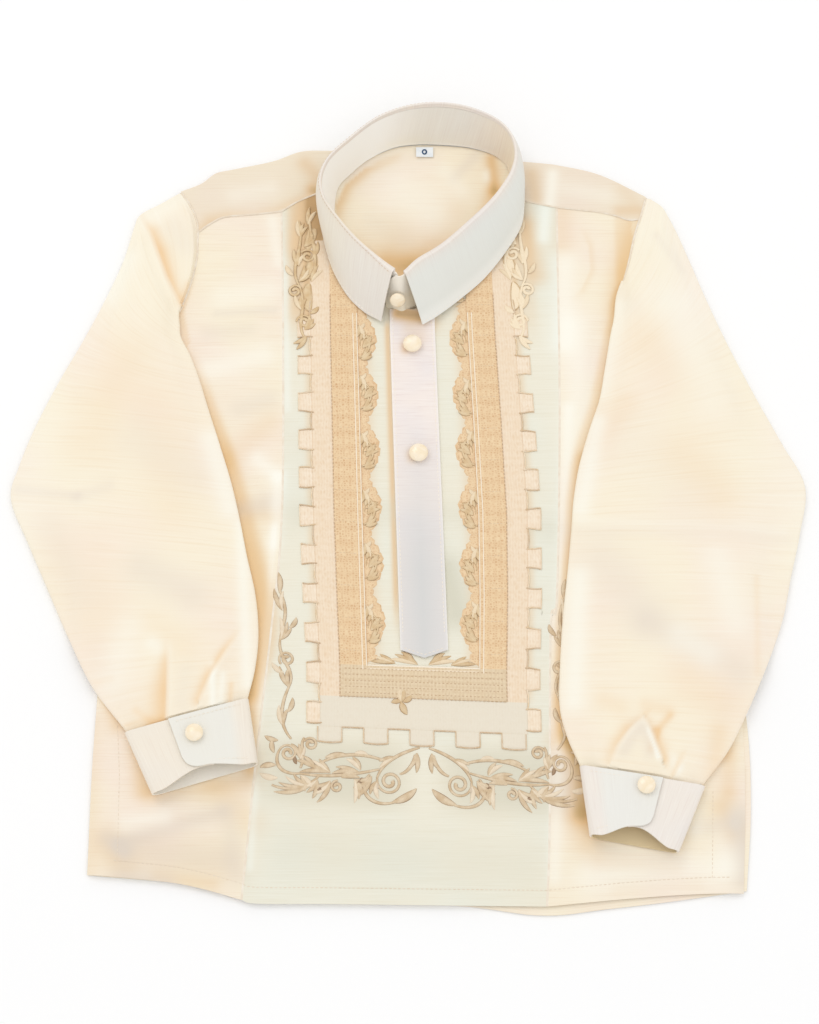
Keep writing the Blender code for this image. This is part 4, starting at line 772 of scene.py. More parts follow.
def makeYoke():
    # one grid: rows climb the back layer from its seam to the shoulder folds and the neck, turn half a
    # circle at the folds, and run down the front flaps to their seams; the middle has the back rows alone
    away = yokeSettings["away"]
    turnLeft, turnRight = neckRing(away, 8, 9, 2)[0], neckRing(away, 14, 15, 2)[0]
    foldLeft = np.vstack([curve(shoulderLeft, 8), turnLeft])
    foldRight = np.vstack([turnRight, curve(shoulderRight, 8)])
    top = np.vstack([foldLeft, neckRing(0.8, 8.5, 13.5, 40), foldRight])
    flat = panel(curve(armholeLeft, 6), curve(armholeRight, 6), backTopLine, top, yokeSettings["columns"],
        yokeSettings["backRows"])
    back = raised(flat, np.zeros(flat.shape[:2]))
    edge = flat[-1]
    onLeft, onRight = edge[:, 0] < turnLeft[0], edge[:, 0] > turnRight[0]
    high = layers["frontTop"]
    angles = np.linspace(0, math.pi, yokeSettings["turnRows"] + 2)[1:-1]
    out = unit(np.column_stack([0.25 * np.sign(edge[:, 0]), np.ones(len(edge))]))
    radius = high / 2
    turnHigh = np.broadcast_to(radius - radius * np.cos(angles)[:, None, None],
        (len(angles), len(edge), 1))
    turn = np.concatenate([edge[None] + radius * np.sin(angles)[:, None, None] * out, turnHigh], axis=-1)
    footLeft = np.vstack([curve(yokeLeft, 6), curve(yokeLeftIn, 6)[1:], neckRing(away, 6, 8, 20)[1:]])
    footRight = np.vstack([neckRing(away, 14, 16, 20), curve(yokeRightIn, 6)[::-1],
        curve(yokeRight, 6)[::-1][1:]])
    share = np.linspace(0, 1, yokeSettings["flapRows"])[:, None]
    footX = np.where(edge[:, 0] < 0,
        footLeft[0, 0] + (edge[:, 0] - foldLeft[0, 0]) * (footLeft[-1, 0] - footLeft[0, 0])
        / (turnLeft[0] - foldLeft[0, 0]),
        footRight[-1, 0] + (edge[:, 0] - foldRight[-1, 0]) * (footRight[0, 0] - footRight[-1, 0])
        / (turnRight[0] - foldRight[-1, 0]))
    leftY = np.interp(footX, *footLeft[np.argsort(footLeft[:, 0])].T)
    rightY = np.interp(footX, *footRight[np.argsort(footRight[:, 0])].T)
    footY = np.where(edge[:, 0] < 0, leftY, rightY)
    flapX = between(edge[None, :, 0], footX[None], share)
    flapY = between(edge[None, :, 1], footY[None], share)
    flapZ = np.broadcast_to(high + 0.25 * softStep((share - 0.93) / 0.04), flapX.shape)
    flap = np.stack([flapX, flapY, flapZ], axis=-1)
    grid = np.concatenate([back, turn, flap])
    rows = len(grid)
    sides = (onLeft[:-1] & onLeft[1:]) | (onRight[:-1] & onRight[1:])
    keep = np.ones((rows - 1, len(edge) - 1), bool)
    keep[len(back) - 1:] = sides
    uv = grid[..., :2] + (np.arange(rows) >= len(back))[:, None, None] * np.array([0, 40.0])
    points = grid[..., :2].reshape(-1, 2)
    # painted shade and highlight: the back layer's from its tables, the flaps' from theirs over a flat warm
    # 0.1 and cool 0.3
    tone = np.zeros((len(points), 3))
    tone[:, 0] = strokes(points, yokeTones["backWarm"]) + glow(points, yokeTones["backGlow"], -1)
    tone[:, 1] = strokes(points, yokeTones["backCool"])
    tone[:, 2] = strokes(points, yokeTones["backLight"])
    onFlap = np.repeat(np.arange(rows) >= len(back), len(edge))
    flapPoints = points[onFlap]
    warm = strokes(flapPoints, yokeTones["flapWarm"]) + glow(flapPoints, yokeTones["flapGlow"], 1) + 0.1
    pale = strokes(flapPoints, yokeTones["flapLight"])
    tone[onFlap] = np.column_stack([warm, np.full(len(warm), 0.3), pale])
    return makePiece("yokeCloth", [wall(grid, yokeSettings["thick"], flip=True, keep=keep, uv=uv,
        tone=tone)], bodyLook, "yoke", slot="body")


yokeCloth = makeYoke()

# placket
placketSettings = dict(columns=30, rows=130, thick=1.0, tip=4.6, under=4.5, roundOff=0.35,
    warm=[(-6, 117.5, 6, 115.5, 1.3, 4.5), (0, 108, 6, 104, 0.25, 5), (-2.6, 97, -2.4, 95, 0.6, 2.6),
        (1, 32, 1.2, 30, 0.6, 2.8)])
placketRows = np.array([(1.4, 115.5, 12.6), (3.2, 60, 12.7), (5.6, -10, 12.8), (8, -80.5, 12.9)])


def placketPoint(across, along):
    # across runs -1 to 1, along 0 at the collar to 1 at the tip; the foot is drawn to a point
    line = spline(placketRows, along * 3)
    x = line[:, 0] + across * line[:, 2]
    y = line[:, 1] - placketSettings["tip"] * (1 - np.abs(across)) * softStep((along - 0.94) / 0.06)
    y += placketSettings["under"] * softStep((0.05 - along) / 0.05)
    return np.column_stack([x, y])


def placketHeight(points):
    return frontTop(points) + layers["seam"] + layers["stiff"]


def makePlacket():
    across, along = np.meshgrid(np.linspace(-1, 1, placketSettings["columns"]),
        np.linspace(0, 1, placketSettings["rows"]))
    points = placketPoint(across.ravel(), along.ravel())
    side = np.abs(across.ravel())
    height = placketHeight(points) - placketSettings["roundOff"] * softStep((side - 0.95) / 0.05)
    grid = np.column_stack([points, height]).reshape(*across.shape, 3)
    # painted shade: warm strokes under the collar points and beside the buttons; a cool tone growing towards
    # the foot, less at the sides; lighter along both edges
    tone = np.zeros((len(points), 3))
    tone[:, 0] = strokes(points, placketSettings["warm"])
    tone[:, 1] = np.clip((55 - points[:, 1]) / 90, 0, 1) * (1 - 0.4 * side)
    tone[:, 2] = 0.5 * softStep((side - 0.9) / 0.08)
    tone = tone.reshape(*across.shape, 3)
    return makePiece("placketCloth", [wall(grid, placketSettings["thick"], flip=True, uv=grid[..., :2],
        tone=tone)], placketLook, "placket", slot="collar")


placketCloth = makePlacket()

# collar
collarSettings = dict(columns=320, standRows=18, thick=1.0, standTop=0.93, standLap=0.024, lapStep=1.7,
    foldReach=1.6, rightReach=1.2)
foldProfile = [(0, 0.25), (0.5, 0.6), (1, -0.7)]


def collarFrames(shares):
    at = shares * len(collarRows)
    ring = collarRows[:, :5]
    now = spline(ring, at, True)
    along = spline(ring, at + 0.15, True) - spline(ring, at - 0.15, True)
    outward = unit(np.column_stack([leftOf(along[:, 2:4]), np.zeros(len(at))]))
    edge = spline(collarRows[:, 5:], np.clip(at, 0, len(collarRows) - 1))
    step = collarSettings["lapStep"] * softStep((shares - 0.90) / 0.07)
    neck = np.column_stack([now[:, :2], np.full(len(at), layers["frontZ"])]) + step[:, None] * outward
    fold = now[:, 2:5] + step[:, None] * outward
    return neck, fold, edge[:, :3], edge[:, 3], outward


def bandUv(grid, row):
    # uv of a band: length run round it along one row, and length run up each column
    return np.stack([np.broadcast_to(runs(grid, 1)[row], grid.shape[:2]), runs(grid, 0)], axis=-1)


def makeStand():
    # shares run once round the neck; warm = painted shade low in the left half, a little in the right, and at
    # both lapped ends; cool at the back; light = painted light in the left half and at the ends
    lap = collarSettings["standLap"]
    shares = np.linspace(-lap, 1 + lap, collarSettings["columns"])
    neck, fold, _, _, outward = collarFrames(shares)
    past = np.maximum(-shares, shares - 1 + lap / 2) / (1.5 * lap)
    height = collarSettings["standTop"] - 0.5 * np.clip(past, 0, 1) ** 2
    up = np.linspace(0, 1, collarSettings["standRows"])[:, None]
    grid = neck[None] + (fold - neck)[None] * (up * height)[..., None]
    normal = gridNormals(grid)
    facing = np.sign(np.sum(normal[5] * outward))
    outer = grid + layers["stiff"] * normal * facing
    outer[0, :, 2] = grid[0, :, 2]
    uv = bandUv(grid, -1)
    tone = np.zeros((*grid.shape[:2], 3))
    low = softStep((0.45 - up) / 0.4) * softStep((0.26 - np.abs(shares - 0.26)) / 0.2)
    ends = softStep((np.abs(shares - 0.5) - 0.4) / 0.08)
    tone[..., 0] = 0.15 + 0.6 * low + 0.2 * softStep((shares - 0.55) / 0.1)
    tone[..., 0] += 0.55 * ends * softStep((0.7 - up) / 0.5)
    tone[..., 1] = 0.35 * softStep((0.12 - np.abs(shares - 0.46)) / 0.1)
    tone[..., 2] = 1.0 * softStep((0.17 - np.abs(shares - 0.28)) / 0.1) + 0.5 * ends
    return makePiece("collarStandCloth", [wall(outer, collarSettings["thick"], flip=facing < 0, uv=uv,
        tone=tone)], stiffLook, "collar_stand", slot="collar")


def fallGrid(columns):
    shares = np.linspace(0.0, (len(collarRows) - 1) / len(collarRows), columns)
    neck, fold, edge, bulge, outward = collarFrames(shares)
    up = np.array([0, 0, 1.0])
    lap = collarSettings["lapStep"] * (1 - softStep(shares / 0.06))
    forward = np.maximum(0, -np.sum((fold - neck) * outward, axis=1))
    reach = collarSettings["foldReach"] + collarSettings["rightReach"] * softStep((shares - 0.62) / 0.1)
    reach = reach + 0.08 * forward + lap
    # a facing inside, from the stand's upper edge to the fold, then the fold itself
    rows = [neck + (fold - neck) * share + 0.1 * outward for share in (0.935, 0.975)]
    rows += [fold + outward * (out * reach)[:, None] + rise * up for out, rise in foldProfile]
    start = rows[-1]
    for share in (0.3, 0.6, 0.82, 1.0):
        swell = bulge[:, None] * math.sin(math.pi * share) * (outward + 0.4 * up)
        rows.append(start + (edge - start) * share + swell)
    rows = np.array(rows)
    at = np.concatenate([np.linspace(0, 4, 24), np.linspace(4, 8, 30)[1:]])
    flat = spline(rows.reshape(len(rows), -1), at)
    # at counts the rows down: 2 to 4 turn the fold, 8 is the free edge
    return flat.reshape(len(at), columns, 3), shares, outward, at


def makeFall():
    grid, shares, outward, at = fallGrid(collarSettings["columns"])
    normal = gridNormals(grid)
    facing = np.sign(np.sum(normal[-18] * outward))
    uv = bandUv(grid, -1)
    tone = np.zeros((*grid.shape[:2], 3))
    # painted warm shade near the left end; a cool tint under the fold, stronger on the right; painted
    # highlight along the fold's turn and towards the right free edge
    right = softStep((shares - 0.6) / 0.1)
    down = at[:, None]
    tone[..., 0] = 0.15 * bell(shares, 0.24, 0.1) * softStep((down - 3) / 2)
    tone[..., 0] += 0.25 * bell(shares, 0.14, 0.05)
    tone[..., 1] = (0.3 + 0.5 * right) * softStep((down - 3.2) / 1.5)
    tone[..., 2] = 0.3 * bell(down, 3, 0.4) + 0.35 * right * softStep((down - 6.4) / 1)
    return makePiece("collarFallCloth", [wall(grid, collarSettings["thick"], flip=facing < 0, uv=uv,
        tone=tone)], stiffLook, "collar_fall", slot="collar")


collarStand = makeStand()
collarFall = makeFall()

# sleeves
# tail: how far each of its rows goes into the cuff, its narrowing, and how far it sinks between tailLevels
sleeveSettings = dict(rings=190, upper=92, lower=26, turn=8, thick=0.6, wall=1.0, headRows=8,
    tail=[(0.8, 0.99, 0.5), (1.6, 0.97, 0.9), (3.5, 0.95, 1.0)], tailLevels=(0.3, 3.3))
# soft folds of the sleeves: both ends, height (negative in a trough) and half width
sleeveFolds = [(-214, 15, -165, 14, -1, 6), (-132, -70, -131, -84, 0.8, 8), (-106, -92, -105, -112, 1, 3),
    (-97, -94, -96, -112, -0.9, 2.5), (-166, -104, -146, -122, 1, 5), (-150, 60, -120, 20, 1, 14),
    (-160, -118, -140, -122, 0.6, 4), (-150, -112, -138, -122, -0.6, 3), (-170, -98, -156, -96, -0.5, 3),
    (-120, -86, -118, -112, 0.7, 5), (-141, -90, -140, -118, 0.6, 5), (-88, -80, -92, -108, 0.5, 3),
    (93, -9, 212, -16, -0.6, 4), (195, -20, 183, -96, -0.8, 7), (125, -42, 129, -76, -0.8, 14),
    (129, -76, 177, -96, -1, 10), (140, 120, 175, 60, 1.2, 14), (100, -118, 103, -142, -0.8, 3),
    (160, -128, 158, -150, 0.8, 4), (150, -140, 168, -136, -0.6, 3), (-216, 11, -180, 6, 0.5, 3),
    (-180, 6, -160, 12, 0.4, 4), (93, -12, 213, -18, 0.3, 3), (188, -42, 186, -104, -0.7, 3),
    (139, 166, 154, 143, -0.5, 3), (142, 162, 156, 146, 0.4, 4), (-190, 60, -150, 100, 0.6, 12),
    (-205, -10, -170, -40, 0.7, 12)]
# pleats: which side of the line lies over (1 left of its run, -1 right), warmth of the shade beside it, and
# rows of x, y, height, width
sleevePleats = {"left": [(1, 0.8, [(-130.4, -76, 0, 3), (-129.5, -90, 0.8, 5), (-129.2, -104.6, 1.1, 8),
    (-129.3, -120, 1, 9)]), (1, 0.85, [(-90, -68, 0, 2), (-99, -83, 0.9, 3), (-107, -97, 0.9, 3.6),
    (-112, -110, 0.7, 4)]), (-1, 1.05, [(-152.6, 176.7, 0.2, 3), (-147.2, 167.3, 0.7, 5),
    (-142.8, 154.8, 1, 6), (-137.3, 139.3, 0.9, 5), (-131.3, 126.9, 0.6, 3.5), (-126.6, 119, 0.3, 2.5)])],
    "right": [(1, 0.75, [(127, -118, 0.3, 2.5), (117.3, -126.8, 1, 4.5), (111, -135, 0.8, 4.5),
    (107, -143, 0.4, 4)]), (-1, 0.6, [(125.5, -121.2, 0.7, 3), (129, -129.5, 1.1, 4),
    (133.5, -142, 1.2, 5)]), (1, 0.7, [(146, -140, 0.3, 2), (143, -146, 0.9, 2.5),
    (140.5, -151, 0.8, 2)])]}
# strokes of painted warm shade, cool shade and highlight on each sleeve: both ends, strength and half width
sleeveTones = {"left": dict(warm=[(-95.5, -101, -96, -112, 0.4, 1.6), (-190, -30, -170, -60, 0.12, 20),
    (-168, -100, -160, -98, 0.2, 2), (-146, -116, -138, -122, 0.25, 2.5), (-160, 90, -178, 40, 0.2, 16),
    (-122, -80, -140, -70, 0.15, 10), (-124, 134, -128, 124, 0.4, 3), (-140, 60, -130, 0, 0.15, 16),
    (-150, -124, -130, -121, 0.3, 2.5)], cool=[(-145, -36, -118, -50, 0.5, 11),
    (-216, 12, -182, 7, 0.4, 3), (-182, 6, -165, 12, 0.35, 4), (-150, 40, -120, 20, 0.25, 14),
    (-134, 170, -128, 160, 0.3, 8), (-120, -94, -122, -112, 0.25, 5), (-196, -10, -176, -50, 0.2, 10)],
    light=[(-138, -79, -134, -82, 0.5, 5), (-160, 150, -168, 130, 0.4, 8), (-110, 40, -98, 0, 0.55, 7),
    (-105.5, -90, -105, -112, 0.8, 2.2), (-92, -10, -87, -100, 0.6, 4), (-150, -70, -160, -100, 0.35, 10),
    (-150, 176, -130, 190, 0.3, 6), (-100, -96, -101, -112, 0.6, 2)]),
    "right": dict(warm=[(139, -119, 131, -128, 0.5, 2.2), (131, -128, 129, -137, 0.6, 2.5),
    (170, 60, 140, 100, 0.25, 18), (188.5, -40, 187, -95, 0.2, 1.8), (104, -110, 112, -114, 0.2, 6),
    (126, -113, 138, -116, 0.25, 4), (165, -128, 162, -150, 0.3, 6), (150, -100, 165, -110, 0.2, 14),
    (120, 60, 104, 40, 0.2, 8), (150, 30, 170, 10, 0.2, 14)],
    cool=[(93, -13, 207, -17, 0.2, 4), (105, -30, 128, -62, 0.4, 14), (128, -66, 178, -94, 0.45, 9),
    (140, 165, 154, 144, 0.3, 3), (120, 40, 150, 10, 0.15, 20), (122, -124, 114, -138, 0.5, 4),
    (126, -128, 128, -139, 0.5, 4), (112, 140, 124, 120, 0.2, 6)],
    light=[(104, 50, 94, 0, 0.6, 6), (148, 120, 168, 60, 0.45, 16), (92, -40, 88, -110, 0.6, 7),
    (127.5, -127, 131.8, -142, 0.8, 1.4), (93, -8, 205, -12, 0.2, 3), (146, -74, 160, -84, 0.4, 8),
    (168, -30, 176, -66, 0.4, 10), (138, -141, 142, -148, 0.7, 3), (118, 120, 106, 70, 0.4, 6)])}


def edgeNormals(points, side):
    along = np.gradient(points, axis=0)
    return unit(-side * leftOf(along))


def sleeveGrid(rows, leftSide):
    # rings of a flattened tube: fold at the inner edge, upper layer, fold at the outer edge, lower layer
    rings = smooth(rows, sleeveSettings["rings"])
    sideSign = math.copysign(1, -rows[0, 0])
    turnsIn = edgeNormals(rings[:, 0:2], -sideSign)
    turnsOut = edgeNormals(rings[:, 2:4], sideSign)
    start, run = rings[:, 0:2], rings[:, 2:4] - rings[:, 0:2]
    width = np.linalg.norm(run, axis=1)
    run = run / width[:, None]
    side = leftOf(run) * sideSign
    bow, rise, puff = rings[:, 4], rings[:, 5], rings[:, 6]
    radius = sleeveSettings["wall"] + rise / 2
    first = radius / width

    def place(shares):
        return (start[:, None] + (shares * width[:, None])[..., None] * run[:, None]
                - (bow[:, None] * 4 * shares * (1 - shares))[..., None] * side[:, None])

    def turn(share, angles, outwards):
        centre = place(share[:, None])[:, 0]
        middle = support(centre, layers["narrowSlope"]) + radius
        flat = centre[:, None] + (radius[:, None] * np.cos(angles))[..., None] * outwards[:, None]
        return np.concatenate([flat, (middle[:, None] + radius[:, None] * np.sin(angles))[..., None]],
            axis=-1)

    share = np.linspace(0, 1, sleeveSettings["upper"])
    upper = first[:, None] + (1 - 2 * first[:, None]) * share
    lower = 1 - first[:, None] - (1 - 2 * first[:, None]) * np.linspace(0, 1, sleeveSettings["lower"])
    flat, flatLow = place(upper), place(lower)
    flatPoints = flat.reshape(-1, 2)
    arch = np.sin(math.pi * upper) ** 0.6
    close = support(flatPoints, layers["narrowSlope"]).reshape(upper.shape) + 2 * radius[:, None]
    full = np.maximum(support(flatPoints, layers["wideSlope"]).reshape(upper.shape) + 2 * radius[:, None],
        close)
    full = full + puff[:, None] * arch + strokes(flatPoints, sleeveFolds).reshape(upper.shape) * arch
    for over, _, line in sleevePleats["left" if leftSide else "right"]:
        # the cloth on one side of a pleat's line lies over the cloth on its other side
        step = glow(flatPoints, line, over) - 0.6 * glow(flatPoints, line, -over)
        full = full + step.reshape(upper.shape)
    ends = softStep(np.minimum(upper, 1 - upper) * 5)
    top = between(close, full, ends)
    low = support(flatLow.reshape(-1, 2), layers["narrowSlope"]).reshape(lower.shape)
    angles = np.radians(np.linspace(-90, 90, sleeveSettings["turn"] + 2)[1:-1])
    grid = np.concatenate([turn(first, angles, turnsIn), np.concatenate([flat, top[..., None]], axis=-1),
        turn(1 - first, angles[::-1], turnsOut), np.concatenate([flatLow, low[..., None]], axis=-1)],
        axis=1)
    # past the last ring the cloth goes a few millimetres into the cuff
    ahead = grid[-1:] - grid[-4:-3]
    ahead[..., 2] = 0
    ahead = ahead / np.linalg.norm(ahead, axis=2, keepdims=True)
    low, high = (layers["coverZ"] + layers["stiff"] + level for level in sleeveSettings["tailLevels"])
    reach, narrow, sink = np.array(sleeveSettings["tail"]).T[..., None]
    tail = grid[-1:] + ahead * reach[..., None]
    centre = tail[..., :2].mean(axis=1, keepdims=True)
    tail[..., :2] = centre + (tail[..., :2] - centre) * narrow[..., None]
    tail[..., 2] = between(tail[..., 2], np.clip(tail[..., 2], low, high), sink)
    grid = np.concatenate([grid, tail])
    # rows before the first ring bring both layers up to the armhole seam
    armhole = curve(armholeLeft if leftSide else armholeRight, 8)
    headY = grid[0, :, 1]
    armX = np.interp(-headY, -armhole[:, 1], armhole[:, 0]) - 0.1 * sideSign
    onTop = np.zeros(len(headY), bool)
    onTop[sleeveSettings["turn"] // 2:sleeveSettings["upper"] + sleeveSettings["turn"] * 3 // 2] = True
    armZ = np.where(onTop, layers["frontTop"] + 0.1, np.minimum(grid[0, :, 2], layers["backTop"]))
    head = np.column_stack([armX, headY, armZ])
    blend = np.linspace(0, 1, sleeveSettings["headRows"] + 1)[:-1, None]
    rows = between(head[None], grid[:1], blend[..., None])
    rows[..., 2] = between(head[None, :, 2], grid[:1, :, 2], softStep(blend))
    return np.concatenate([rows, grid]), sideSign


def makeSleeve(name, node, rows, side):
    grid, sideSign = sleeveGrid(rows, side == "left")
    points = grid[..., :2].reshape(-1, 2)
    tones = sleeveTones[side]
    tone = np.column_stack([strokes(points, tones[key]) for key in ("warm", "cool", "light")])
    # painted shade beside each pleat's line on its lower side, and painted highlight along its ridge
    for over, warmth, line in sleevePleats[side]:
        shade = glow(points, line, -over)
        tone[:, 0] += warmth * shade
        ridge = glow(points, [(x, y, high, 1.6) for x, y, high, _ in line], over)
        tone[:, 2] = tone[:, 2] * (1 - np.clip(shade, 0, 1)) + 0.5 * ridge
    # a faint painted warm glow where the sleeve lies over the body and just past its edge, and painted light
    # towards the outer edge, thin and over the table
    over = outsideDistance(points, bodyOutline)
    tone[:, 0] = np.clip(tone[:, 0] + 0.06 * (1 - softStep(over / 20)), 0, 1)
    tone[:, 2] = np.clip(tone[:, 2] + 0.15 * softStep((over - 25) / 25), 0, 1)
    middle = grid[:, sleeveSettings["turn"]]
    along = runs(middle[:, None], 0)
    uv = np.stack([runs(grid, 1), np.broadcast_to(along, grid.shape[:2])], axis=-1)
    tone = tone.reshape(*grid.shape[:2], 3)
    tube = wall(grid, sleeveSettings["thick"], around=True, flip=sideSign < 0, uv=uv, tone=tone)
    return makePiece(name, [tube], sleeveLook, node, slot="sleeve")


sleeveLeft = makeSleeve("sleeveLeftCloth", "sleeve_left", sleeveLeftRows, "left")
sleeveRight = makeSleeve("sleeveRightCloth", "sleeve_right", sleeveRightRows, "right")

# cuffs
cuffSettings = dict(rows=36, thick=1.0)
# painted warm shade and painted light on the inner face seen in the mouth, and a warm tone on the front
cuffTones = {"left": (0.45, 0.6, 0.25), "right": (1.35, 0.1, 0)}


def cuffCorners(cuff):
    return (np.array(cuff[key], float) for key in ("topIn", "topOut", "mouthIn", "mouthOut"))


def cuffPath(lapEnd, gap):
    # rows of share across, height, bulge and front (1 on the front) from the end beneath round to the lap
    low = layers["coverZ"] + layers["stiff"] / 2
    under = low + layers["stiff"] + gap
    over = under + layers["stiff"] + cuffShape["seat"]
    angles = np.radians(np.linspace(80, -80, 9))
    lower = [(share, under, 0.0, 1.0) for share in np.linspace(lapEnd + cuffShape["lap"], 0.03, 26)]
    left = [(0.0, low + (under - low) / 2 * (1 + math.sin(a)), -math.cos(a), 0.5) for a in angles]
    back = [(share, low, 0.0, 0.0) for share in np.linspace(0.03, 0.97, 30)]
    right = [(1.0, low + (over - low) / 2 * (1 + math.sin(a)), math.cos(a), 0.5) for a in -angles]
    front = [(share, over, 0.0, 1.0) for share in np.linspace(0.97, lapEnd, 60)]
    return np.array(lower + left + back + right + front)


def cuffGrid(cuff):
    topIn, topOut, mouthIn, mouthOut = cuffCorners(cuff)
    toSleeve = topOut + topIn - mouthOut - mouthIn
    toSleeve /= np.linalg.norm(toSleeve)
    rows = []
    for level in np.linspace(0, 1, cuffSettings["rows"]):
        outerEnd, innerEnd = between(topOut, mouthOut, level), between(topIn, mouthIn, level)
        width = np.linalg.norm(innerEnd - outerEnd)
        gap = between(*cuff["gap"], level)
        turn = (gap / 2 + layers["stiff"]) / width
        share, z, bulge, front = cuffPath(cuff["lapEnd"], gap).T
        arch = np.sin(math.pi * share)
        along = turn + share * (1 - 2 * turn) + bulge * turn
        drawn = cuff["drawn"] * level * front * np.maximum(arch, 0) ** 1.5
        flat = outerEnd + (innerEnd - outerEnd) * along[:, None] + toSleeve * drawn[:, None]
        rows.append(np.column_stack([flat, z + cuffShape["swell"] * arch * front]))
    grid = np.array(rows)
    away = np.linalg.norm(grid[-1] - grid[-1, -1], axis=1)
    length = np.linalg.norm(grid[-1] - grid[0], axis=1)
    corner = cuffShape["corner"]
    inCorner = (away < corner) & (np.arange(len(away)) > len(away) - 40)
    short = corner - np.sqrt(corner**2 - np.where(inCorner, corner - away, 0) ** 2)
    return grid[0] + (grid - grid[0]) * (1 - short / length)[:, None]


def cuffTop(cuff, point):
    # height of the cuff's front face over a point of it
    topIn, topOut, mouthIn, mouthOut = cuffCorners(cuff)
    down = (mouthIn + mouthOut - topIn - topOut) / 2
    level = (np.array(point) - (topIn + topOut) / 2) @ down / (down @ down)
    outerEnd = between(topOut, mouthOut, level)
    run = between(topIn, mouthIn, level) - outerEnd
    share = (np.array(point) - outerEnd) @ run / (run @ run)
    swell = cuffShape["swell"] * math.sin(math.pi * share)
    gap = between(*cuff["gap"], level)
    return layers["coverZ"] + 3 * layers["stiff"] + gap + cuffShape["seat"] + swell


def makeCuff(side):
    grid = cuffGrid(cuffs[side])
    normal = -gridNormals(grid)
    outer = grid + normal * layers["stiff"] / 2
    uv = bandUv(grid, cuffSettings["rows"] // 2)
    # painted shade and light below, on the inner face; on the front a warm tone, a cool tint over its later
    # part and a little light
    tone = np.zeros((*grid.shape[:2], 3))
    below = grid[..., 2] < layers["coverZ"] + 3
    warm, pale, front = cuffTones[side]
    tone[..., 0] = np.where(below, warm, front)
    along = np.arange(grid.shape[1]) / grid.shape[1]
    tone[..., 1] = np.where(below, 0.0, 0.6) * softStep((along - 0.55) / 0.1)
    tone[..., 2] = np.where(below, pale, 0.25)
    shell = wall(outer, cuffSettings["thick"], flip=True, uv=uv, tone=tone)
    return makePiece(f"cuff{side.capitalize()}Cloth", [shell], stiffLook, f"cuff_{side}", slot="collar")


cuffLeft = makeCuff("left")
cuffRight = makeCuff("right")
print("cloth shells made")

# strips: embroidery, seams and stitches
def ribbon(path, width, height, surface, lift=0.0, across=5, tone=(0, 0, 0), edge=0.0):
    # a closed strip along a path: across it z = surface + lift + height * sqrt(1 - t^2) for t from -1 to 1,
    # flat beneath; tone is the strip's own and edge is added to its first channel towards both sides, more
    # on one: painted shade on the strip's rounded edges, together with the thread's dark outline
    path = np.asarray(path, float)
    width = np.broadcast_to(width, len(path))
    along = np.gradient(path[:, :2], axis=0)
    side = leftOf(along) / np.maximum(np.linalg.norm(along, axis=1), 1e-9)[:, None]
    t = np.sin(np.linspace(-math.pi / 2, math.pi / 2, across))
    flat = path[:, None, :2] + (t * width[:, None] / 2)[..., None] * side[:, None]
    ground = surface(flat.reshape(-1, 2)).reshape(len(path), across) + lift
    share = np.minimum(width / max(width.max(), 1e-9), 1)[:, None]
    high = ground + height * np.sqrt(np.maximum(1 - t**2, 0)) * share**0.5
    low = ground[:, [-1, across // 2, 0]] - 0.12
    grid = np.concatenate([raised(flat, high), raised(flat[:, [-1, across // 2, 0]], low)], axis=1)
    length = runs(path[:, None, :2], 0)[:, 0]
    turn = np.concatenate([t, [1, 0, -1]])
    uv = np.stack(np.broadcast_arrays(turn[None] * width[:, None] / 2, length[:, None]), axis=-1)
    shade = np.broadcast_to(np.array(tone, float), (*grid.shape[:2], 3)).copy()
    shade[..., 0] += edge * np.where(turn < 0, 1.0, 0.6) * np.abs(turn) ** 6
    quads = gridQuads(*grid.shape[:2], around=True).reshape(-1, 4)[:, ::-1]
    ends = grid.shape[1]
    caps = np.array([[0, k, k + 1, k + 2] for k in range(1, ends - 2, 2)])
    caps = np.vstack([caps, caps[:, ::-1] + (len(path) - 1) * ends])
    return grid.reshape(-1, 3), np.vstack([quads, caps]), uv.reshape(-1, 2), shade.reshape(-1, 3)


def bezier(points, count=26):
    # cubic curve of four control points
    t = np.linspace(0, 1, count)[:, None]
    a, b, c, d = (np.array(point, float) for point in points)
    return a * (1 - t) ** 3 + 3 * b * t * (1 - t) ** 2 + 3 * c * t**2 * (1 - t) + d * t**3


def spiral(centre, outer, inner, start, turns, count=40):
    # radius shrinks evenly from outer to inner while the angle runs from start (degrees) by turns
    t = np.linspace(0, 1, count)
    angle = math.radians(start) + 2 * math.pi * turns * t
    radius = outer * (1 - t) + inner * t
    return np.array(centre) + np.column_stack([radius * np.cos(angle), radius * np.sin(angle)])


def leafPath(base, angle, length, bend, count):
    # a bent spine: the heading turns by bend degrees from its base to its tip
    t = np.linspace(0, 1, count)
    heading = np.radians(angle + bend * t)
    step = np.column_stack([np.cos(heading), np.sin(heading)]) * length / (count - 1)
    return np.array(base) + np.vstack([[0, 0], np.cumsum(step[:-1], axis=0)])


def leafWidth(width, count, power):
    # width * sin(pi * (0.04 + 0.93 t))^power from base to tip
    t = np.linspace(0, 1, count)
    return width * np.sin(math.pi * (0.04 + 0.93 * t)) ** power


# stitches: pitch, length, width and height
stitchSizes = dict(band=(2.2, 1.6, 0.55, 0.2), foot=(2.1, 1.2, 0.6, 0.2), arm=(1.9, 1.1, 0.45, 0.15),
    hem=(2.4, 1.7, 0.45, 0.2), placket=(2.3, 1.6, 0.45, 0.2), fold=(2.2, 1.6, 0.4, 0.15),
    edge=(2.4, 1.7, 0.35, 0.12))


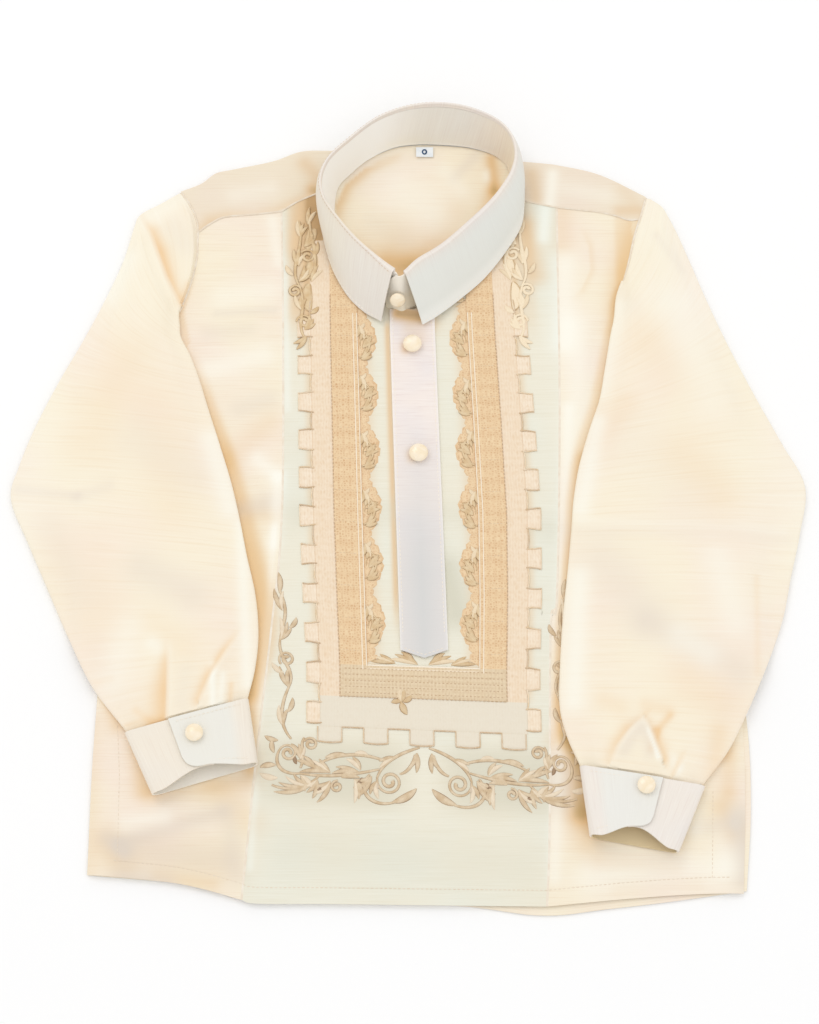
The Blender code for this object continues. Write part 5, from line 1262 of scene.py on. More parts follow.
def stitchRow(path, size, surface, lift=0.0, tone=(0, 0, 0)):
    # small half-ellipsoid stitches along a path, all from one template; without a surface the path
    # carries its own height
    pitch, length, width, height = stitchSizes[size]
    path = np.asarray(path, float)
    steps = np.concatenate([[0], np.cumsum(np.linalg.norm(np.diff(path[:, :2], axis=0), axis=1))])
    at = np.arange(pitch / 2, steps[-1], pitch)
    middle, ahead, back = (np.column_stack([np.interp(at + move, steps, path[:, k]) for k in (0, 1)])
        for move in (0, 0.2, -0.2))
    run = ahead - back
    run /= np.maximum(np.linalg.norm(run, axis=1), 1e-9)[:, None]
    side = leftOf(run)
    lengths, angles = np.array([-0.98, -0.75, 0, 0.75, 0.98]), np.radians([0, 60, 120, 180, 240, 300])
    girth = np.sqrt(1 - lengths**2)
    forward = np.repeat(lengths * length / 2, 6)
    sideways = (girth[:, None] * np.cos(angles) * width / 2).ravel()
    upward = (girth[:, None] * np.maximum(np.sin(angles), -0.3) * height).ravel()
    flat = middle[:, None] + forward[:, None] * run[:, None] + sideways[:, None] * side[:, None]
    ground = np.interp(at, steps, path[:, 2]) if surface is None else surface(middle)
    z = ground[:, None] + lift + upward
    points = np.concatenate([flat, z[..., None]], axis=-1).reshape(-1, 3)
    one = gridQuads(5, 6, around=True).reshape(-1, 4)[:, ::-1]
    one = np.vstack([one, [[0, 1, 2, 3], [0, 3, 4, 5], [27, 26, 25, 24], [29, 28, 27, 24]]])
    quads = (one[None] + 30 * np.arange(len(middle))[:, None, None]).reshape(-1, 4)
    uv = np.zeros((len(points), 2))
    return points, quads, uv, np.tile(np.array(tone, float), (len(points), 1))


def threadLook(name, look):
    # stranded thread laid side by side: colour = light to middle in patches, then dark by the warm tone
    # plus 0.13 * fine stripes along the strip, then pale by the light tone; bump height = the stripes; the
    # warm tone is darker thread and painted shade at the strips' edges, the light tone paler thread and
    # painted light
    material, tree, shader = newMaterial(name, {"Roughness": look["rough"], "Specular IOR Level": 0.4,
        "Sheen Weight": 0.1})
    place = addNode(tree, "ShaderNodeUVMap", {"uv_map": "weave"})
    strands = addNode(tree, "ShaderNodeTexWave", {"bands_direction": "Y",
        "Scale": waveScale(look["strand"]), "Distortion": 2.0, "Detail": 1.0},
        {"Vector": place.outputs[0]})
    patch = addNode(tree, "ShaderNodeTexNoise", {"Scale": 260.0, "Detail": 1.0},
        {"Vector": addNode(tree, "ShaderNodeTexCoord").outputs["Object"]})
    colour = mixed(tree, mapped(tree, patch.outputs[0], 0.35, 0.65), look["light"], look["middle"])
    tone = addNode(tree, "ShaderNodeAttribute", {"attribute_name": "tone"})
    split = addNode(tree, "ShaderNodeSeparateColor", {}, {0: tone.outputs[0]})
    lines = addNode(tree, "ShaderNodeMath", {"operation": "MULTIPLY_ADD", 1: 0.13, "use_clamp": True},
        {0: strands.outputs[1], 2: split.outputs[0]})
    colour = mixed(tree, lines.outputs[0], colour, look["dark"])
    colour = mixed(tree, split.outputs[2], colour, look["pale"])
    dress(tree, shader, colour, strands.outputs[1], {"Strength": 0.4, "Distance": 0.0002})
    return material


# rayon embroidery thread, satin stitch: beige with a silky light side and brown edges
satinLook = threadLook("satinStitch", dict(light="fae9cf", middle="f1d9b4", dark="a77f55", pale="fff6e6",
    strand=0.8, rough=0.45))
# the same thread a shade deeper, for the scrolls at the foot and the sides
deepLook = threadLook("deepSatinStitch", dict(light="ead6b6", middle="d6bb94", dark="86603c",
    pale="f8ead3", strand=0.8, rough=0.45))
# the same thread dyed ochre, for the trims and the shoulders
ochreLook = threadLook("ochreSatinStitch", dict(light="efd8b0", middle="e0c192", dark="9f784a",
    pale="f9e8cb", strand=0.8, rough=0.45))
# cream spun polyester sewing thread
sewingLook = threadLook("sewingThread", dict(light="fbf4e6", middle="f3e6d2", dark="c9ae8e",
    pale="fffaf0", strand=0.6, rough=0.55))


# the embroidered border
def bandPatch(left, right, low, high, lift, pressed, tone=(0, 0, 0)):
    # a rectangle of the border's frame laid on the front, with the named sides (left, right, bottom, top)
    # pressed down; low and high may be pairs for its two sides
    tall, wide = np.max(high) - np.min(low), right - left
    columns, rows = max(int(wide), 6), max(int(tall), 6)
    u, v = np.meshgrid(np.linspace(0, 1, columns), np.linspace(0, 1, rows))
    lows, highs = np.broadcast_to(low, 2), np.broadcast_to(high, 2)
    p = left + wide * u
    q = between(between(*lows, u), between(*highs, u), v)
    flat = skewed(np.column_stack([p.ravel(), q.ravel()]))
    rims = {"l": u * wide, "r": (1 - u) * wide, "b": v * tall, "t": (1 - v) * tall}
    rim = np.min([rims[key] for key in pressed] + [np.full(u.shape, 9.0)], axis=0)
    height = frontTop(flat) + lift - 0.25 * (1 - softStep(rim / 1.1)).ravel()
    grid = np.column_stack([flat, height]).reshape(rows, columns, 3)
    tone = np.broadcast_to(np.array(tone, float), grid.shape)
    return wall(grid, border["thick"], uv=np.stack([p, q], axis=-1), tone=tone)


def netLook(name, look):
    # drawn and whipped threads: light threads along the edges of irregular cells, darker holes between;
    # hole amount = cells + ribs * upright waves + rows * level waves, held at 1; colour = thread to hole by
    # it, then uneven patches and the tones; the bump sinks where the hole amount is high
    material, tree, shader = newMaterial(name, {"Roughness": 0.6, "Specular IOR Level": 0.25,
        "Sheen Weight": 0.1})
    place = addNode(tree, "ShaderNodeUVMap", {"uv_map": "weave"}).outputs[0]
    bend = addNode(tree, "ShaderNodeTexNoise", {"Scale": 1000 / look["bendSize"], "Detail": 2.0},
        {"Vector": place})
    shift = addNode(tree, "ShaderNodeVectorMath", {"operation": "MULTIPLY_ADD", 1: (look["bend"],) * 3},
        {0: bend.outputs[1], 2: place})
    stretch = addNode(tree, "ShaderNodeMapping", {"Scale": (1000 / look["cell"][0],
        1000 / look["cell"][1], 1)}, {"Vector": shift.outputs[0]})
    cells = addNode(tree, "ShaderNodeTexVoronoi", {"feature": "DISTANCE_TO_EDGE", "Scale": 1.0,
        "Randomness": look["random"]}, {"Vector": stretch.outputs[0]})
    holes = mapped(tree, cells.outputs["Distance"], *look["range"], look["cells"])
    for direction, key in (("X", "ribs"), ("Y", "rows")):
        pitch, amount = look[key]
        wave = addNode(tree, "ShaderNodeTexWave", {"bands_direction": direction,
            "Scale": waveScale(pitch)}, {"Vector": shift.outputs[0]})
        sharp = mapped(tree, wave.outputs[1], 0.45, 0.95, amount)
        total = addNode(tree, "ShaderNodeMath", {"operation": "ADD", "use_clamp": True},
            {0: holes, 1: sharp})
        holes = total.outputs[0]
    uneven = addNode(tree, "ShaderNodeTexNoise", {"Scale": 1000 / 6.0, "Detail": 3.0, "Roughness": 0.7},
        {"Vector": place})
    base = mixed(tree, holes, look["thread"], look["hole"])
    amount = mapped(tree, uneven.outputs[0], 0.45, 0.75, look["uneven"][1])
    colour, _ = toned(tree, mixed(tree, amount, base, look["uneven"][0]), look)
    dress(tree, shader, colour, holes, {"Strength": 0.35, "Distance": 0.0003, "invert": True})
    return material


# drawn-thread net whipped with tan cotton, meshes of about 1.5 by 1.35 mm
tanLook = netLook("drawnThreadNet", dict(cell=(1.5, 1.35), random=0.55, bend=0.0007, bendSize=3.0,
    range=(0.05, 0.4), cells=0.75, ribs=(3.1, 0.12), rows=(9.3, 0.15), hole="d3a87c", thread="eed3ab",
    uneven=("e8c59a", 0.4), warm="cf9f6a", cool="b3946a", light="f9e6c8"))
# the same net at the foot, stitched over by level rows
footLook = netLook("stitchedNet", dict(cell=(1.5, 2.4), random=0.5, bend=0.0006, bendSize=4.0,
    range=(0.1, 0.45), cells=0.4, ribs=(1.9, 0.14), rows=(2.9, 0.14), hole="c5a783", thread="e6d2b2",
    uneven=("dcc29c", 0.4), warm="cf9f6a", cool="b3946a", light="f6e4c4"))
# pale darned ground of the outer band: fine upright threads and faint level ones
lightLook = netLook("darnedGround", dict(cell=(1.7, 3.0), random=0.9, bend=0.0016, bendSize=9.0,
    range=(0.05, 0.5), cells=0.4, ribs=(1.5, 0.14), rows=(4.3, 0.08), hole="dcbc96", thread="f7e9d5",
    uneven=("efd9bd", 0.55), warm="e2bf92", cool="e6e0d0", light="fbf6ec"))


# cords: width, height, lift over the front and darkness of the edges
cordSizes = dict(merlonEnd=(0.75, 0.3, 0.35, 0.1), merlonSide=(0.5, 0.12, 0.3, 0.05),
    bandSide=(0.7, 0.15, 0.35, 0.1), footEnd=(0.8, 0.3, 0.35, 0.2), footSide=(0.65, 0.25, 0.3, 0.2),
    footGap=(0.75, 0.3, 0.35, 0.2), tanSide=(0.6, 0.22, 0.75, 0.35), tanFoot=(0.8, 0.25, 0.65, 0.4))
# the scalloped inner edge of the tan band: width = least + swell * |cos|^1.6 + ripple * sin
scallop = dict(least=5.0, swell=6.0, ripple=0.8, rippleRate=1.3, shift=7)


def cord(points, size, warm=0, pale=0):
    # a cord along points of the border's frame
    width, height, lift, edge = cordSizes[size]
    return ribbon(skewed(points), width, height, frontTop, lift, tone=(warm, 0, pale), edge=edge)


def makeBorder():
    b = border
    topLeft, topRight = (b["top"] + 14, b["top"] - 12), (b["top"] - 11, b["top"] + 5)
    tan = [bandPatch(-b["tanOut"], -b["tanIn"], b["tanFoot"], topLeft, b["tanRaise"], "lrt"),
        bandPatch(b["tanIn"], b["tanOut"], b["tanFoot"], topRight, b["tanRaise"], "lrt")]
    q = np.linspace(b["tanFoot"] + 3, b["top"] - 20, 150)
    wave = np.cos(math.pi * (q - trimSettings["first"] - scallop["shift"]) / trimSettings["pitch"])
    swell = np.abs(wave) ** 1.6
    for side in (-1, 1):
        ripple = scallop["ripple"] * np.sin(q * scallop["rippleRate"] + side)
        wide = scallop["least"] + scallop["swell"] * swell + ripple
        edge = np.column_stack([side * (b["tanIn"] + 1 - wide / 2), q])
        tan.append(ribbon(skewed(edge), wide, 0.3, frontTop, 0.05, across=9, tone=(0, 0, 0.1), edge=0.5))
    foot = [bandPatch(-b["tanOut"], b["tanOut"], 0, b["tanFoot"], b["tanRaise"], "lrb")]
    lift, arm, low = b["lightRaise"], (0.24, 0, 0), (0.25, 0.75, 0)
    light = [bandPatch(-b["lightOut"], -b["tanOut"], 0, b["top"] + 20, lift, "lt", arm),
        bandPatch(b["tanOut"], b["lightOut"], 0, b["top"] + 16, lift, "rt", arm),
        bandPatch(-b["lightOut"], b["lightOut"], -b["lightFoot"], 0, lift, "lrb", low)]
    cords, outlines = [], []
    for number in range(b["sideMerlons"]):
        start = b["first"] + b["pitch"] * number
        end = start + b["merlon"]
        for side in (-1, 1):
            inner, outer = sorted((side * b["lightOut"], side * b["merlonOut"]))
            light.append(bandPatch(inner, outer, start, end, lift, "btl" if side < 0 else "btr",
                (0.1, 0, 0)))
            across = np.linspace(b["lightOut"] - 1, b["merlonOut"], 14)
            for upper, bow in ((0, -0.5), (1, 0.5)):
                # the cords at a merlon's two ends are dark and light by turns, and lighter on the right
                level = (end if upper else start) + bow * np.sin(np.linspace(0, 3, 14) + number)
                warm = (0.45, 0.2)[(number + upper) % 2] * (1.0 if side < 0 else 0.8)
                cords.append(cord(np.column_stack([side * across, level]), "merlonEnd", warm))
            rim = [(side * b["merlonOut"], level) for level in np.linspace(start, end, 10)]
            outlines.append(cord(rim, "merlonSide", 0.0 if side < 0 else 0.15, 0.2))
            # the side of the band between two merlons, a little bowed
            rise = np.linspace(0, 1, 12)
            bowed = side * (b["lightOut"] + 0.6 * np.sin(math.pi * rise))
            gap = np.column_stack([bowed, end + (b["pitch"] - b["merlon"]) * rise])
            outlines.append(cord(gap, "bandSide", 0.3 if number % 3 == 1 else 0.05))
    for k in range(b["footMerlons"]):
        middle = b["footPitch"] * (k - (b["footMerlons"] - 1) / 2) + b["footShift"]
        left, right = middle - b["footMerlon"] / 2, middle + b["footMerlon"] / 2
        light.append(bandPatch(left, right, -b["merlonFoot"], -b["lightFoot"], lift, "lrb", low))
        rise = np.linspace(0, 1, 16)
        under = np.column_stack([left + (right - left) * rise,
            -b["merlonFoot"] - 0.6 * np.sin(math.pi * rise)])
        cords.append(cord(under, "footEnd", 0.35))
        for p in (left, right):
            levels = np.linspace(-b["merlonFoot"], -b["lightFoot"], 8)
            outlines.append(cord([(p, level) for level in levels], "footSide", 0.2))
        if k < b["footMerlons"] - 1:
            along = np.linspace(right, right + b["footPitch"] - b["footMerlon"], 12)
            cords.append(cord(np.column_stack([along, np.full(12, -b["lightFoot"])]), "footGap", 0.4))
    # back stitch between the two bands, two light cords at the inner edge of the tan one
    ring = [(-b["tanOut"], level) for level in np.linspace(b["top"] - 14, 0, 30)]
    ring += [(p, 0) for p in np.linspace(-40, 40, 9)]
    ring += [(b["tanOut"], level) for level in np.linspace(0, b["top"] - 14, 30)]
    cords.append(stitchRow(skewed(ring), "band", frontTop, b["tanRaise"] - 0.05, tone=(0.6, 0, 0)))
    for inset, warm in ((0.5, 0.05), (2.6, 0.0)):
        q = np.linspace(b["tanFoot"] - inset, b["top"] - 26, 200)
        for side in (-1, 1):
            outlines.append(cord(np.column_stack([np.full(200, side * (b["tanIn"] + inset)), q]),
                "tanSide", warm, 0.6))
    p = np.linspace(-b["tanIn"], b["tanIn"], 80)
    for down, pale in ((0, 0.7), (1.9, 0.3)):
        outlines.append(cord(np.column_stack([p, np.full(80, b["tanFoot"] - down)]), "tanFoot", 0, pale))
    # five level rows of back stitch across the foot, and a short bar across each arm every 18.6 mm
    for row in range(5):
        p = np.linspace(2 - b["tanOut"], b["tanOut"] - 2, 30)
        path = skewed(np.column_stack([p, np.full(30, 2.2 + 3.4 * row)]))
        cords.append(stitchRow(path, "foot", frontTop, b["tanRaise"], tone=(0.6, 0, 0)))
    for side in (-1, 1):
        for q in np.arange(26, 232, 18.6):
            path = skewed([(side * (b["tanIn"] + 4), q), (side * (b["tanOut"] - 1), q + 0.4)])
            cords.append(stitchRow(path, "arm", frontTop, b["tanRaise"], tone=(0.35, 0, 0)))
    return (makePiece("tanBand", tan, tanLook), makePiece("tanFoot", foot, footLook),
        makePiece("lightBand", light, lightLook), makePiece("bandCords", cords, satinLook),
        makePiece("bandOutlines", outlines, satinLook))


borderPieces = makeBorder()
print("border made")

# scrolls and leaves, drawn in the border's frame for the right half and mirrored
scrollSettings = dict(stem=1.7, height=0.5, edge=1.0, leaf=1.5, long=1.1)
# stems are four control points; spirals are centre, outer and inner radius, first angle, turns; fans are
# base, heading, length, bend, fingers, spread; leaves, dark leaves and broad petals are base, heading,
# length, bend, width
footMotif = dict(stems=[((2.5, -27), (9, -29), (22, -34), (25.2, -45)),
    ((19, -36), (31, -31), (46, -31), (57, -39)), ((29, -43), (37, -52), (28, -62.5), (14.5, -57)),
    ((24, -40), (38, -44), (52, -46), (66, -44)), ((66, -44), (77, -46), (81, -38), (77, -31)),
    ((66, -41), (63, -35), (67, -29), (64, -24)), ((5, -31), (6, -37), (9, -41), (13, -42)),
    ((56, -45), (62, -52), (72, -55), (81, -51))], spirals=[((18.4, -46.5), 6.8, 1.5, 12, -1.6),
    ((72.6, -33), 4.8, 1.2, 25, 1.5), ((60.6, -27.4), 3.6, 1, 20, 1.4),
    ((46.5, -50.5), 3.2, 0.9, 100, -1.3)], fans=[((28, -44), -75, 13, 45, 3, 17),
    ((37, -46), -105, 12, 35, 3, -16), ((50, -47.5), -80, 13, 45, 3, 18), ((50, -43), 12, 15, -28, 4, 13),
    ((60, -50), -32, 19, 42, 4, 11), ((4, -30), -100, 10, 25, 2, 20), ((25, -46.5), -70, 9, -55, 2, 28),
    ((35, -42), 8, 13, -30, 2, 12), ((66, -45), -150, 10, 40, 2, 22), ((66, -36), 75, 9, -35, 3, 20),
    ((44, -45.5), 160, 9, 40, 3, -18), ((15, -33), -20, 10, -35, 2, 16), ((58, -41), 40, 10, -40, 2, 20),
    ((34, -41), 60, 9, -50, 2, 18), ((57, -47), -95, 10, 40, 3, 20)],
    leaves=[((17, -57.5), 165, 14, -38, 3), ((78, -47), -5, 9, 40, 2.4), ((79, -40), 8, 8, -40, 2.2),
    ((80, -33), 60, 7, 50, 2), ((40, -33.5), 12, 12, -40, 2.2), ((30, -32.5), 30, 7, -60, 1.8)],
    dark=[((33, -45), -60, 5, 30, 1.5), ((53, -52), -20, 5, 40, 1.5), ((68, -39), 60, 4.5, 40, 1.5),
    ((25, -47), -100, 4.5, 40, 1.3)])
sideMotif = dict(stems=[((71, -25), (79, -16), (76, -4), (72, 5)),
    ((72, 5), (68, 14), (79, 20), (76, 32)), ((76, 32), (74, 42), (70, 46), (75, 60))],
    spirals=[((73.2, 20), 4.4, 1, -40, 1.5)], fans=[((75, -18), 60, 11, 40, 2, 22),
    ((72, 4), 50, 12, 35, 2, 18), ((76, 31), 110, 12, -40, 3, 16), ((74, 48), 60, 12, 30, 2, 18)],
    leaves=[((73, -10), 130, 8, -50, 2), ((75, 12), 20, 8, 50, 2), ((71, 38), 150, 7, -60, 2),
    ((75, 58), 100, 11, -25, 2.2), ((78, -26), 0, 7, 40, 2)])
shoulderMotif = dict(stems=[((58, 210), (65, 218), (56, 230), (62, 244)),
    ((62, 244), (68, 256), (58, 266), (62, 284)), ((54, 250), (50, 262), (57, 274), (56, 288))],
    spirals=[((59, 221), 4.2, 1.1, 0, 1.5), ((64, 240), 3.8, 1, 150, -1.4),
    ((57, 262), 4.2, 1.1, 30, 1.4)], fans=[((59, 216), 125, 9, -40, 3, 16),
    ((60, 228), 50, 10, 40, 3, 16), ((62, 246), 125, 10, -40, 3, 15), ((62, 256), 60, 10, 35, 3, 16),
    ((59, 268), 120, 10, -40, 3, 15), ((61, 274), 65, 10, 35, 3, 16), ((55, 246), 95, 10, 35, 2, 18),
    ((53, 262), 95, 10, -40, 2, 18), ((57, 282), 85, 10, 20, 2, 20), ((58, 212), -70, 9, 30, 2, 20)],
    leaves=[((56, 226), 160, 6, -50, 2), ((65, 250), 40, 7, 40, 2)],
    petals=[((56, 228), 70, 17, 40, 6), ((55, 248), 85, 15, 30, 6), ((57, 266), 95, 14, 25, 5.5)])
# trims along the inner edge of the tan band, repeated with a change of size; the pair of fans inside the foot
# of the tan band; and the sprig of five leaves below the placket
trimMotif = dict(stems=[((29.6, -3), (22.5, 0), (21.5, 9), (28.5, 14))],
    spirals=[((24.6, 8), 2.4, 0.8, -90, 1.3)], fans=[((28.4, -4), 128, 8, -35, 3, 20),
    ((29.4, 17), -122, 8, 30, 2, 24), ((27.4, 3), 112, 8, 30, 2, 24)],
    petals=[((28.2, 4), 112, 9, 60, 4)], leaves=[((28.5, 8), 100, 5, 40, 1.8),
    ((29.5, 15), 160, 4.5, -60, 1.6)])
pairMotif = dict(fans=[((3, 19.3), 20, 14, -25, 3, 11), ((15, 19.6), 10, 12, -15, 3, 10)],
    leaves=[((5, 20.5), 62, 8, -50, 2)])
midMotif = dict(leaves=[((-12, -2), 62, 7, 40, 2.2), ((-12, -2), 112, 7, -50, 2.2),
    ((-12, -2), -80, 7, 30, 2.6), ((-12, -2), 165, 5, 50, 2), ((-11, -2), 20, 6, 50, 2.2)])


def fanLeaves(base, heading, length, bend, fingers, spread):
    # fingers of an acanthus: crescents from one base, each turned on by spread degrees and a little shorter
    return [(base, heading + k * spread, length * (1 - 0.14 * k), bend + 9 * k, 1.9 - 0.12 * k)
        for k in range(fingers)]


def motif(shapes, side, tone=0.05, lift=0.0, move=0.0, small=1.0, pale=0.1):
    # a table's shapes as ribbons, mirrored by side and moved up; small thins the stems and spirals
    leaves = [(*leaf, 0) for leaf in shapes.get("leaves", [])]
    leaves += [(*leaf, 0) for fan in shapes.get("fans", []) for leaf in fanLeaves(*fan)]
    leaves += [(*leaf, 0.7) for leaf in shapes.get("dark", [])]
    flip, shift, size = np.array([side, 1.0]), np.array([0.0, move]), scrollSettings["stem"] * small
    parts = []

    def add(path, width, high=1.0, shade=0, paleness=pale):
        parts.append(ribbon(skewed(path * flip + shift), width, scrollSettings["height"] * high, frontTop,
            lift, tone=(tone + shade, 0, paleness), edge=scrollSettings["edge"]))

    for stem in shapes.get("stems", []):
        path = bezier(stem)
        add(path, size * (0.55 + 0.6 * np.sin(np.linspace(0.25, 2.9, len(path)))), 0.9)
    for row in shapes.get("spirals", []):
        path = spiral(*row)
        add(path, size * np.linspace(0.75, 1.3, len(path)))
    for number, (base, heading, length, bend, width, shade) in enumerate(leaves):
        # every fourth leaf is pale
        path = leafPath(base, heading, length * scrollSettings["long"], bend, 10)
        add(path, leafWidth(width * scrollSettings["leaf"], 10, 0.8), shade=shade,
            paleness=0.6 if number % 4 == 1 else pale)
    return parts


def petal(base, heading, length, bend, width, side, dark, lift=0.12, move=0.0, count=16, pale=0.1):
    # a filled leaf between two thin corded edges, as wide as width * sin(pi * (0.04 + 0.93 t))^0.6
    flip, shift = np.array([side, 1.0]), np.array([0.0, move])
    path = leafPath(base, heading, length, bend, count)
    normal = unit(leftOf(np.gradient(path, axis=0)))
    half = leafWidth(width, count, 0.6)[:, None] / 2
    parts = [ribbon(skewed(path * flip + shift), 2 * half[:, 0], 0.2, frontTop, lift, across=7,
        tone=(0.1, 0, pale), edge=0.3)]
    for edge in (-1, 1):
        rim = skewed((path + edge * half * normal) * flip + shift)
        parts.append(ribbon(rim, 0.55, 0.22, frontTop, lift + 0.15, tone=(dark, 0, 0), edge=0.2))
    return parts


def makeScrolls():
    foot, sides, shoulders, trims = [], [], [], []
    shoulderLight = {-1: 0.05, 1: 0.9}  # painted light, strong on the right shoulder's scrolls and faint on the left
    for side in (-1, 1):
        for row in shoulderMotif["petals"]:
            shoulders += petal(*row, side, dark=0.25, pale=shoulderLight[side])
        foot += motif(footMotif, side)
        sides += motif(sideMotif, side)
        shoulders += motif(shoulderMotif, side, tone=0.1, lift=0.35, pale=shoulderLight[side])
        for k in range(trimSettings["count"]):
            place = trimSettings["first"] + k * trimSettings["pitch"] + 1.5 * math.sin(2.4 * k + side)
            for row in trimMotif["petals"]:
                trims += petal(*row, side, lift=0.1, dark=0.3, move=place, count=9)
            small = 0.7 + 0.12 * math.sin(1.7 * k + 2 * side)
            trims += motif(trimMotif, side, tone=0.1, lift=0.45, move=place, small=small)
        trims += motif(pairMotif, side, tone=0.2)
    trims += motif(midMotif, 1, tone=0.2, lift=0.45)
    kinds = (("footScrolls", foot, deepLook), ("sideScrolls", sides, deepLook),
        ("shoulderScrolls", shoulders, ochreLook), ("leafTrims", trims, ochreLook))
    return [makePiece(name, parts, look) for name, parts, look in kinds]


scrollPieces = makeScrolls()
print("scrolls made")

# seams, hems and rows of stitching
# seams: width, height, lift and warmth; and how low each armhole's seam runs
seamSettings = dict(yoke=(1.0, 0.1, 0.1, 0.2), panel=(1.2, 0.12, 0, 0.12), armhole=(1.4, 0.45, 0.1, 0.12),
    lowest=(118, 128), flapRaise=0.2)


def seamStrip(path, kind, surface, pale=0):
    width, height, lift, warm = seamSettings[kind]
    return ribbon(path, width, height, surface, lift, tone=(warm, 0, pale))


def makeSeams():
    flapTop = flatTop(layers["frontTop"] + seamSettings["flapRaise"])
    yokeL = np.vstack([curve(yokeLeft, 8), curve(yokeLeftIn, 8)[1:]])
    yokeR = np.vstack([curve(yokeRightIn, 8)[::-1], curve(yokeRight, 8)[::-1][1:]])
    pale = [seamStrip(path + (0, 0.2), "yoke", flapTop) for path in (yokeL, yokeR)]
    panels = (curve(seamLeft, 20), curve(seamRight, 16))
    pale += [seamStrip(path, "panel", frontTop, 0.1) for path in panels]
    dark = []
    for armhole, lowest in zip((armholeLeft, armholeRight), seamSettings["lowest"]):
        path = curve(armhole, 10)
        dark.append(seamStrip(path[path[:, 1] > lowest], "armhole", frontTop))
    return makePiece("paleSeams", pale, sewingLook), makePiece("armholeSeams", dark, sewingLook)


# stitch lines: distance of the hem's from its edge, the side slits, the placket's from its middle (1 is its
# edge), the collar's row numbers beside the fold and inside the free edges, and the cuffs' from top to mouth
stitchSettings = dict(hemUp=8.6, slits=([(-157.1, -110), (-154.2, -150), (-153.8, -196)],
    [(161.1, -158), (160, -185), (159, -205)]), placket=0.87, tipUp=1.7, fold=3.75, edge=7.72,
    cuff=(0.07, 0.93))


def makeStitches():
    rows = [stitchRow((hemLine + (0, stitchSettings["hemUp"]))[2:-2], "hem", frontTop, tone=(0.35, 0, 0))]
    rows += [stitchRow(path, "hem", frontTop, tone=(0.35, 0, 0)) for path in stitchSettings["slits"]]
    inset, along = stitchSettings["placket"], np.linspace(0.02, 0.955, 200)
    for side in (-inset, inset):
        path = placketPoint(np.full(200, side), along)
        rows.append(stitchRow(path, "placket", placketHeight, tone=(0.12, 0, 0.3)))
    tip = placketPoint(np.linspace(-inset, inset, 40), np.full(40, 1.0)) + (0, stitchSettings["tipUp"])
    rows.append(stitchRow(tip, "placket", placketHeight, tone=(0.2, 0, 0.1)))
    # a row beside the fold of the collar and one inside its free edges
    grid, _, _, at = fallGrid(collarSettings["columns"])
    folded, edged = (np.argmin(np.abs(at - stitchSettings[key])) for key in ("fold", "edge"))
    rows.append(stitchRow(grid[folded, 2:150], "fold", None, tone=(0.75, 0, 0)))
    rows.append(stitchRow(grid[edged, 3:-3], "edge", None, tone=(0.12, 0, 0.4)))
    for cuff in cuffs.values():
        topIn, topOut, mouthIn, mouthOut = cuffCorners(cuff)
        share = np.linspace(cuff["lapEnd"] + 0.06, 0.95, 60)
        for level in stitchSettings["cuff"]:
            outer, inner = between(topOut, mouthOut, level), between(topIn, mouthIn, level)
            flat = outer + share[:, None] * (inner - outer)
            if level > 0.5:
                # the mouth's edge is drawn up towards the sleeve in its middle
                drawn = cuff["drawn"] * level * np.sin(math.pi * share) ** 1.5
                flat += (topIn - mouthIn) / np.linalg.norm(topIn - mouthIn) * drawn[:, None]
            high = np.array([cuffTop(cuff, point) for point in flat]) - 0.02
            rows.append(stitchRow(np.column_stack([flat, high]), "edge", None, tone=(0.15, 0, 0.3)))
    return makePiece("frontStitches", rows, sewingLook)


seamPieces = makeSeams()
frontStitches = makeStitches()
print("seams and stitches made")

# buttons and label
buttonSettings = dict(sides=48, rows=40, collarSize=0.86, cuffSize=0.92, placket=[(1.6, 98), (5, 32.5)],
    collarShare=0.995, collarRise=0.4)
# radius and height from the back of the button to the top of its dome
buttonRows = np.array([(1.9, 0), (1.9, 1.1), (4.3, 1.25), (5.15, 1.9), (5.1, 2.6), (4.3, 3.4),
    (2.6, 4.15), (0.9, 4.46), (0, 4.5)])

# moulded pearl polyester: creamy yellow body under a clear glossy coat, cloudy within
pearlLook, pearlTree, pearlShader = newMaterial("pearlPolyester",
    {"Roughness": 0.22, "Specular IOR Level": 0.6, "Coat Weight": 0.6, "Coat Roughness": 0.08})
pearlPlace = addNode(pearlTree, "ShaderNodeTexCoord")
pearlCloud = addNode(pearlTree, "ShaderNodeTexNoise", {"Scale": 160.0, "Detail": 1.5, "Distortion": 1.2},
    {"Vector": pearlPlace.outputs["Object"]})
pearlColour = mixed(pearlTree, mapped(pearlTree, pearlCloud.outputs[0], 0.35, 0.7), "f8e6c6", "fdf1dc")
pearlTree.links.new(pearlColour, pearlShader.inputs["Base Color"])


def makeButton(name, node, centre, direction, size=1.0):
    # a profile of radius and height turned once round the button's axis
    axis = np.array(direction, float) / np.linalg.norm(direction)
    first = np.cross((0.0, 1.0, 0.2), axis)
    first /= np.linalg.norm(first)
    second = np.cross(axis, first)
    profile = smooth(buttonRows, buttonSettings["rows"])
    profile[-1, 0] = 0.02
    angle = np.linspace(0, 2 * math.pi, buttonSettings["sides"], endpoint=False)
    ring = np.cos(angle)[:, None] * first + np.sin(angle)[:, None] * second
    radius, height = profile.T[..., None, None]
    grid = np.array(centre, float) + size * (np.abs(radius) * ring[None] + height * axis)
    quads = gridQuads(*grid.shape[:2], around=True).reshape(-1, 4)
    count = buttonSettings["sides"]
    caps = np.array([[0, k, k + 1, k + 2] for k in range(1, count - 2, 2)])
    faces = np.vstack([quads, caps[:, ::-1], caps + (buttonSettings["rows"] - 1) * count])
    points = grid.reshape(-1, 3)
    return makePiece(name, [(points, faces, points[:, :2], np.zeros((len(points), 3)))], pearlLook, node,
        slot="pearl")


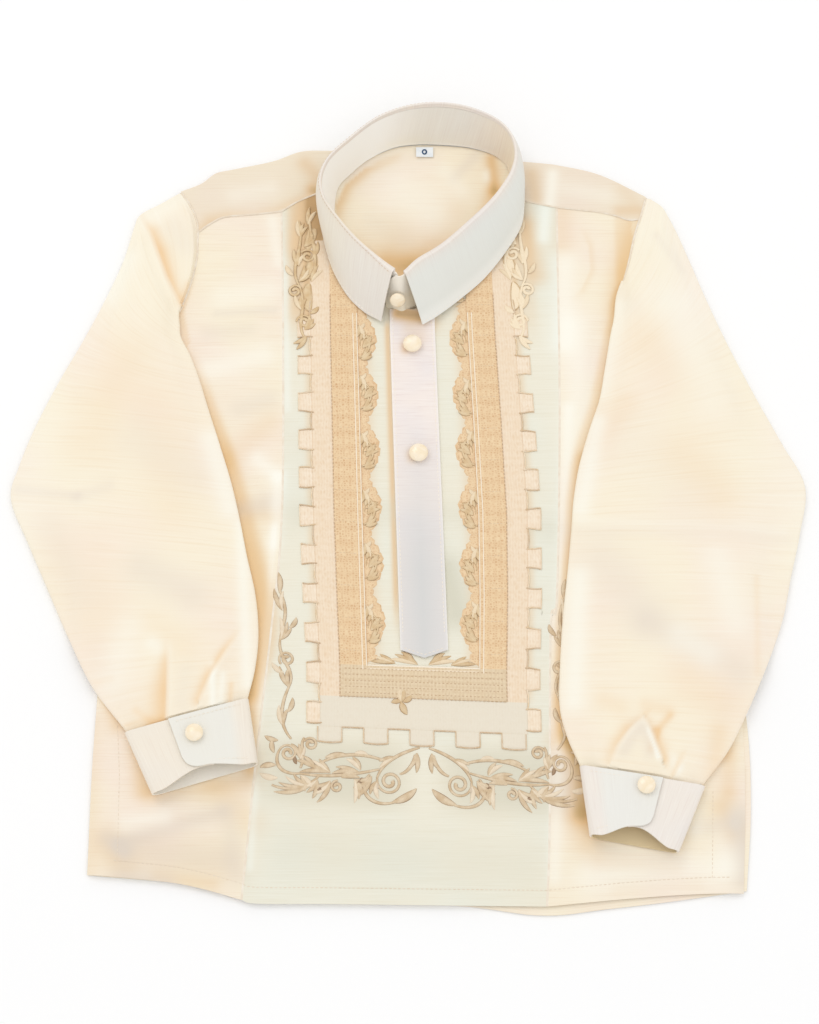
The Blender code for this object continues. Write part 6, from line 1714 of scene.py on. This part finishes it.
def makeButtons():
    for number, place in enumerate(buttonSettings["placket"], 1):
        height = placketHeight(np.array([place]))[0] + layers["seam"]
        makeButton(f"pearlPlacket{number}", f"button_placket_{number}", (*place, height), (0, 0, 1))
    neck, fold, _, _, _ = collarFrames(np.array([buttonSettings["collarShare"]]))
    rise = (fold - neck)[0]
    out = np.cross(rise, (-1.0, 0, 0))
    out /= np.linalg.norm(out)
    centre = neck[0] + buttonSettings["collarRise"] * rise + (layers["stiff"] + 2 * layers["seam"]) * out
    makeButton("pearlCollar", "button_collar", centre, out, buttonSettings["collarSize"])
    for side, cuff in cuffs.items():
        centre = (*cuff["button"], cuffTop(cuff, cuff["button"]) + layers["seam"])
        makeButton(f"pearlCuff{side.capitalize()}", f"button_cuff_{side}", centre, (0, 0, 1),
            buttonSettings["cuffSize"])


labelSettings = dict(corner=(3.8, 216.6), size=(9.8, 6.0), height=2.05, curl=0.25, thick=0.5,
    ringCentre=(8.6, 219.6), ringRadii=(1.15, 1.35), ringWidth=0.75, ringRaise=0.1, ringHeight=2.3)


def makeLabel():
    # woven satin tab, a little curled, with a plain ring
    u, v = np.meshgrid(np.linspace(0, 1, 20), np.linspace(0, 1, 14))
    (left, foot), (wide, tall) = labelSettings["corner"], labelSettings["size"]
    height = labelSettings["height"] + labelSettings["curl"] * np.sin(u * 5 + 1) * (1 - v)
    grid = np.stack([left + wide * u, foot + tall * v, height], axis=-1)
    tab = makePiece("labelTab", [wall(grid, labelSettings["thick"])], labelLook, "size_label",
        slot="label")
    angle = np.linspace(0, 2 * math.pi, 33)
    turn = np.column_stack([np.cos(angle), np.sin(angle)])
    ring = labelSettings["ringCentre"] + np.array(labelSettings["ringRadii"]) * turn
    flat = flatTop(labelSettings["ringHeight"])
    mark = makePiece("labelRing", [ribbon(ring, labelSettings["ringWidth"], labelSettings["ringRaise"],
        flat)], inkLook)
    return tab, mark


# polyester satin tape, white
labelLook = clothLook("satinTape", dict(base="eef2f4", patch=("e3e9ee", 0.8), patchSize=5,
    slub=("cfd8de", 0.3), lightSlub=("ffffff", 0.4), slubLength=5, slubWidth=0.5, thread=0.5, bump=0.1,
    rough=0.4, warm="efe3cc", cool="d8dde0", light="ffffff"))
# navy woven yarn
inkLook = threadLook("navyYarn", dict(light="1f4f7a", middle="184067", dark="0f2c4a", pale="3a6c98",
    strand=0.4, rough=0.5))
makeButtons()
labelPieces = makeLabel()
print("buttons and label made")
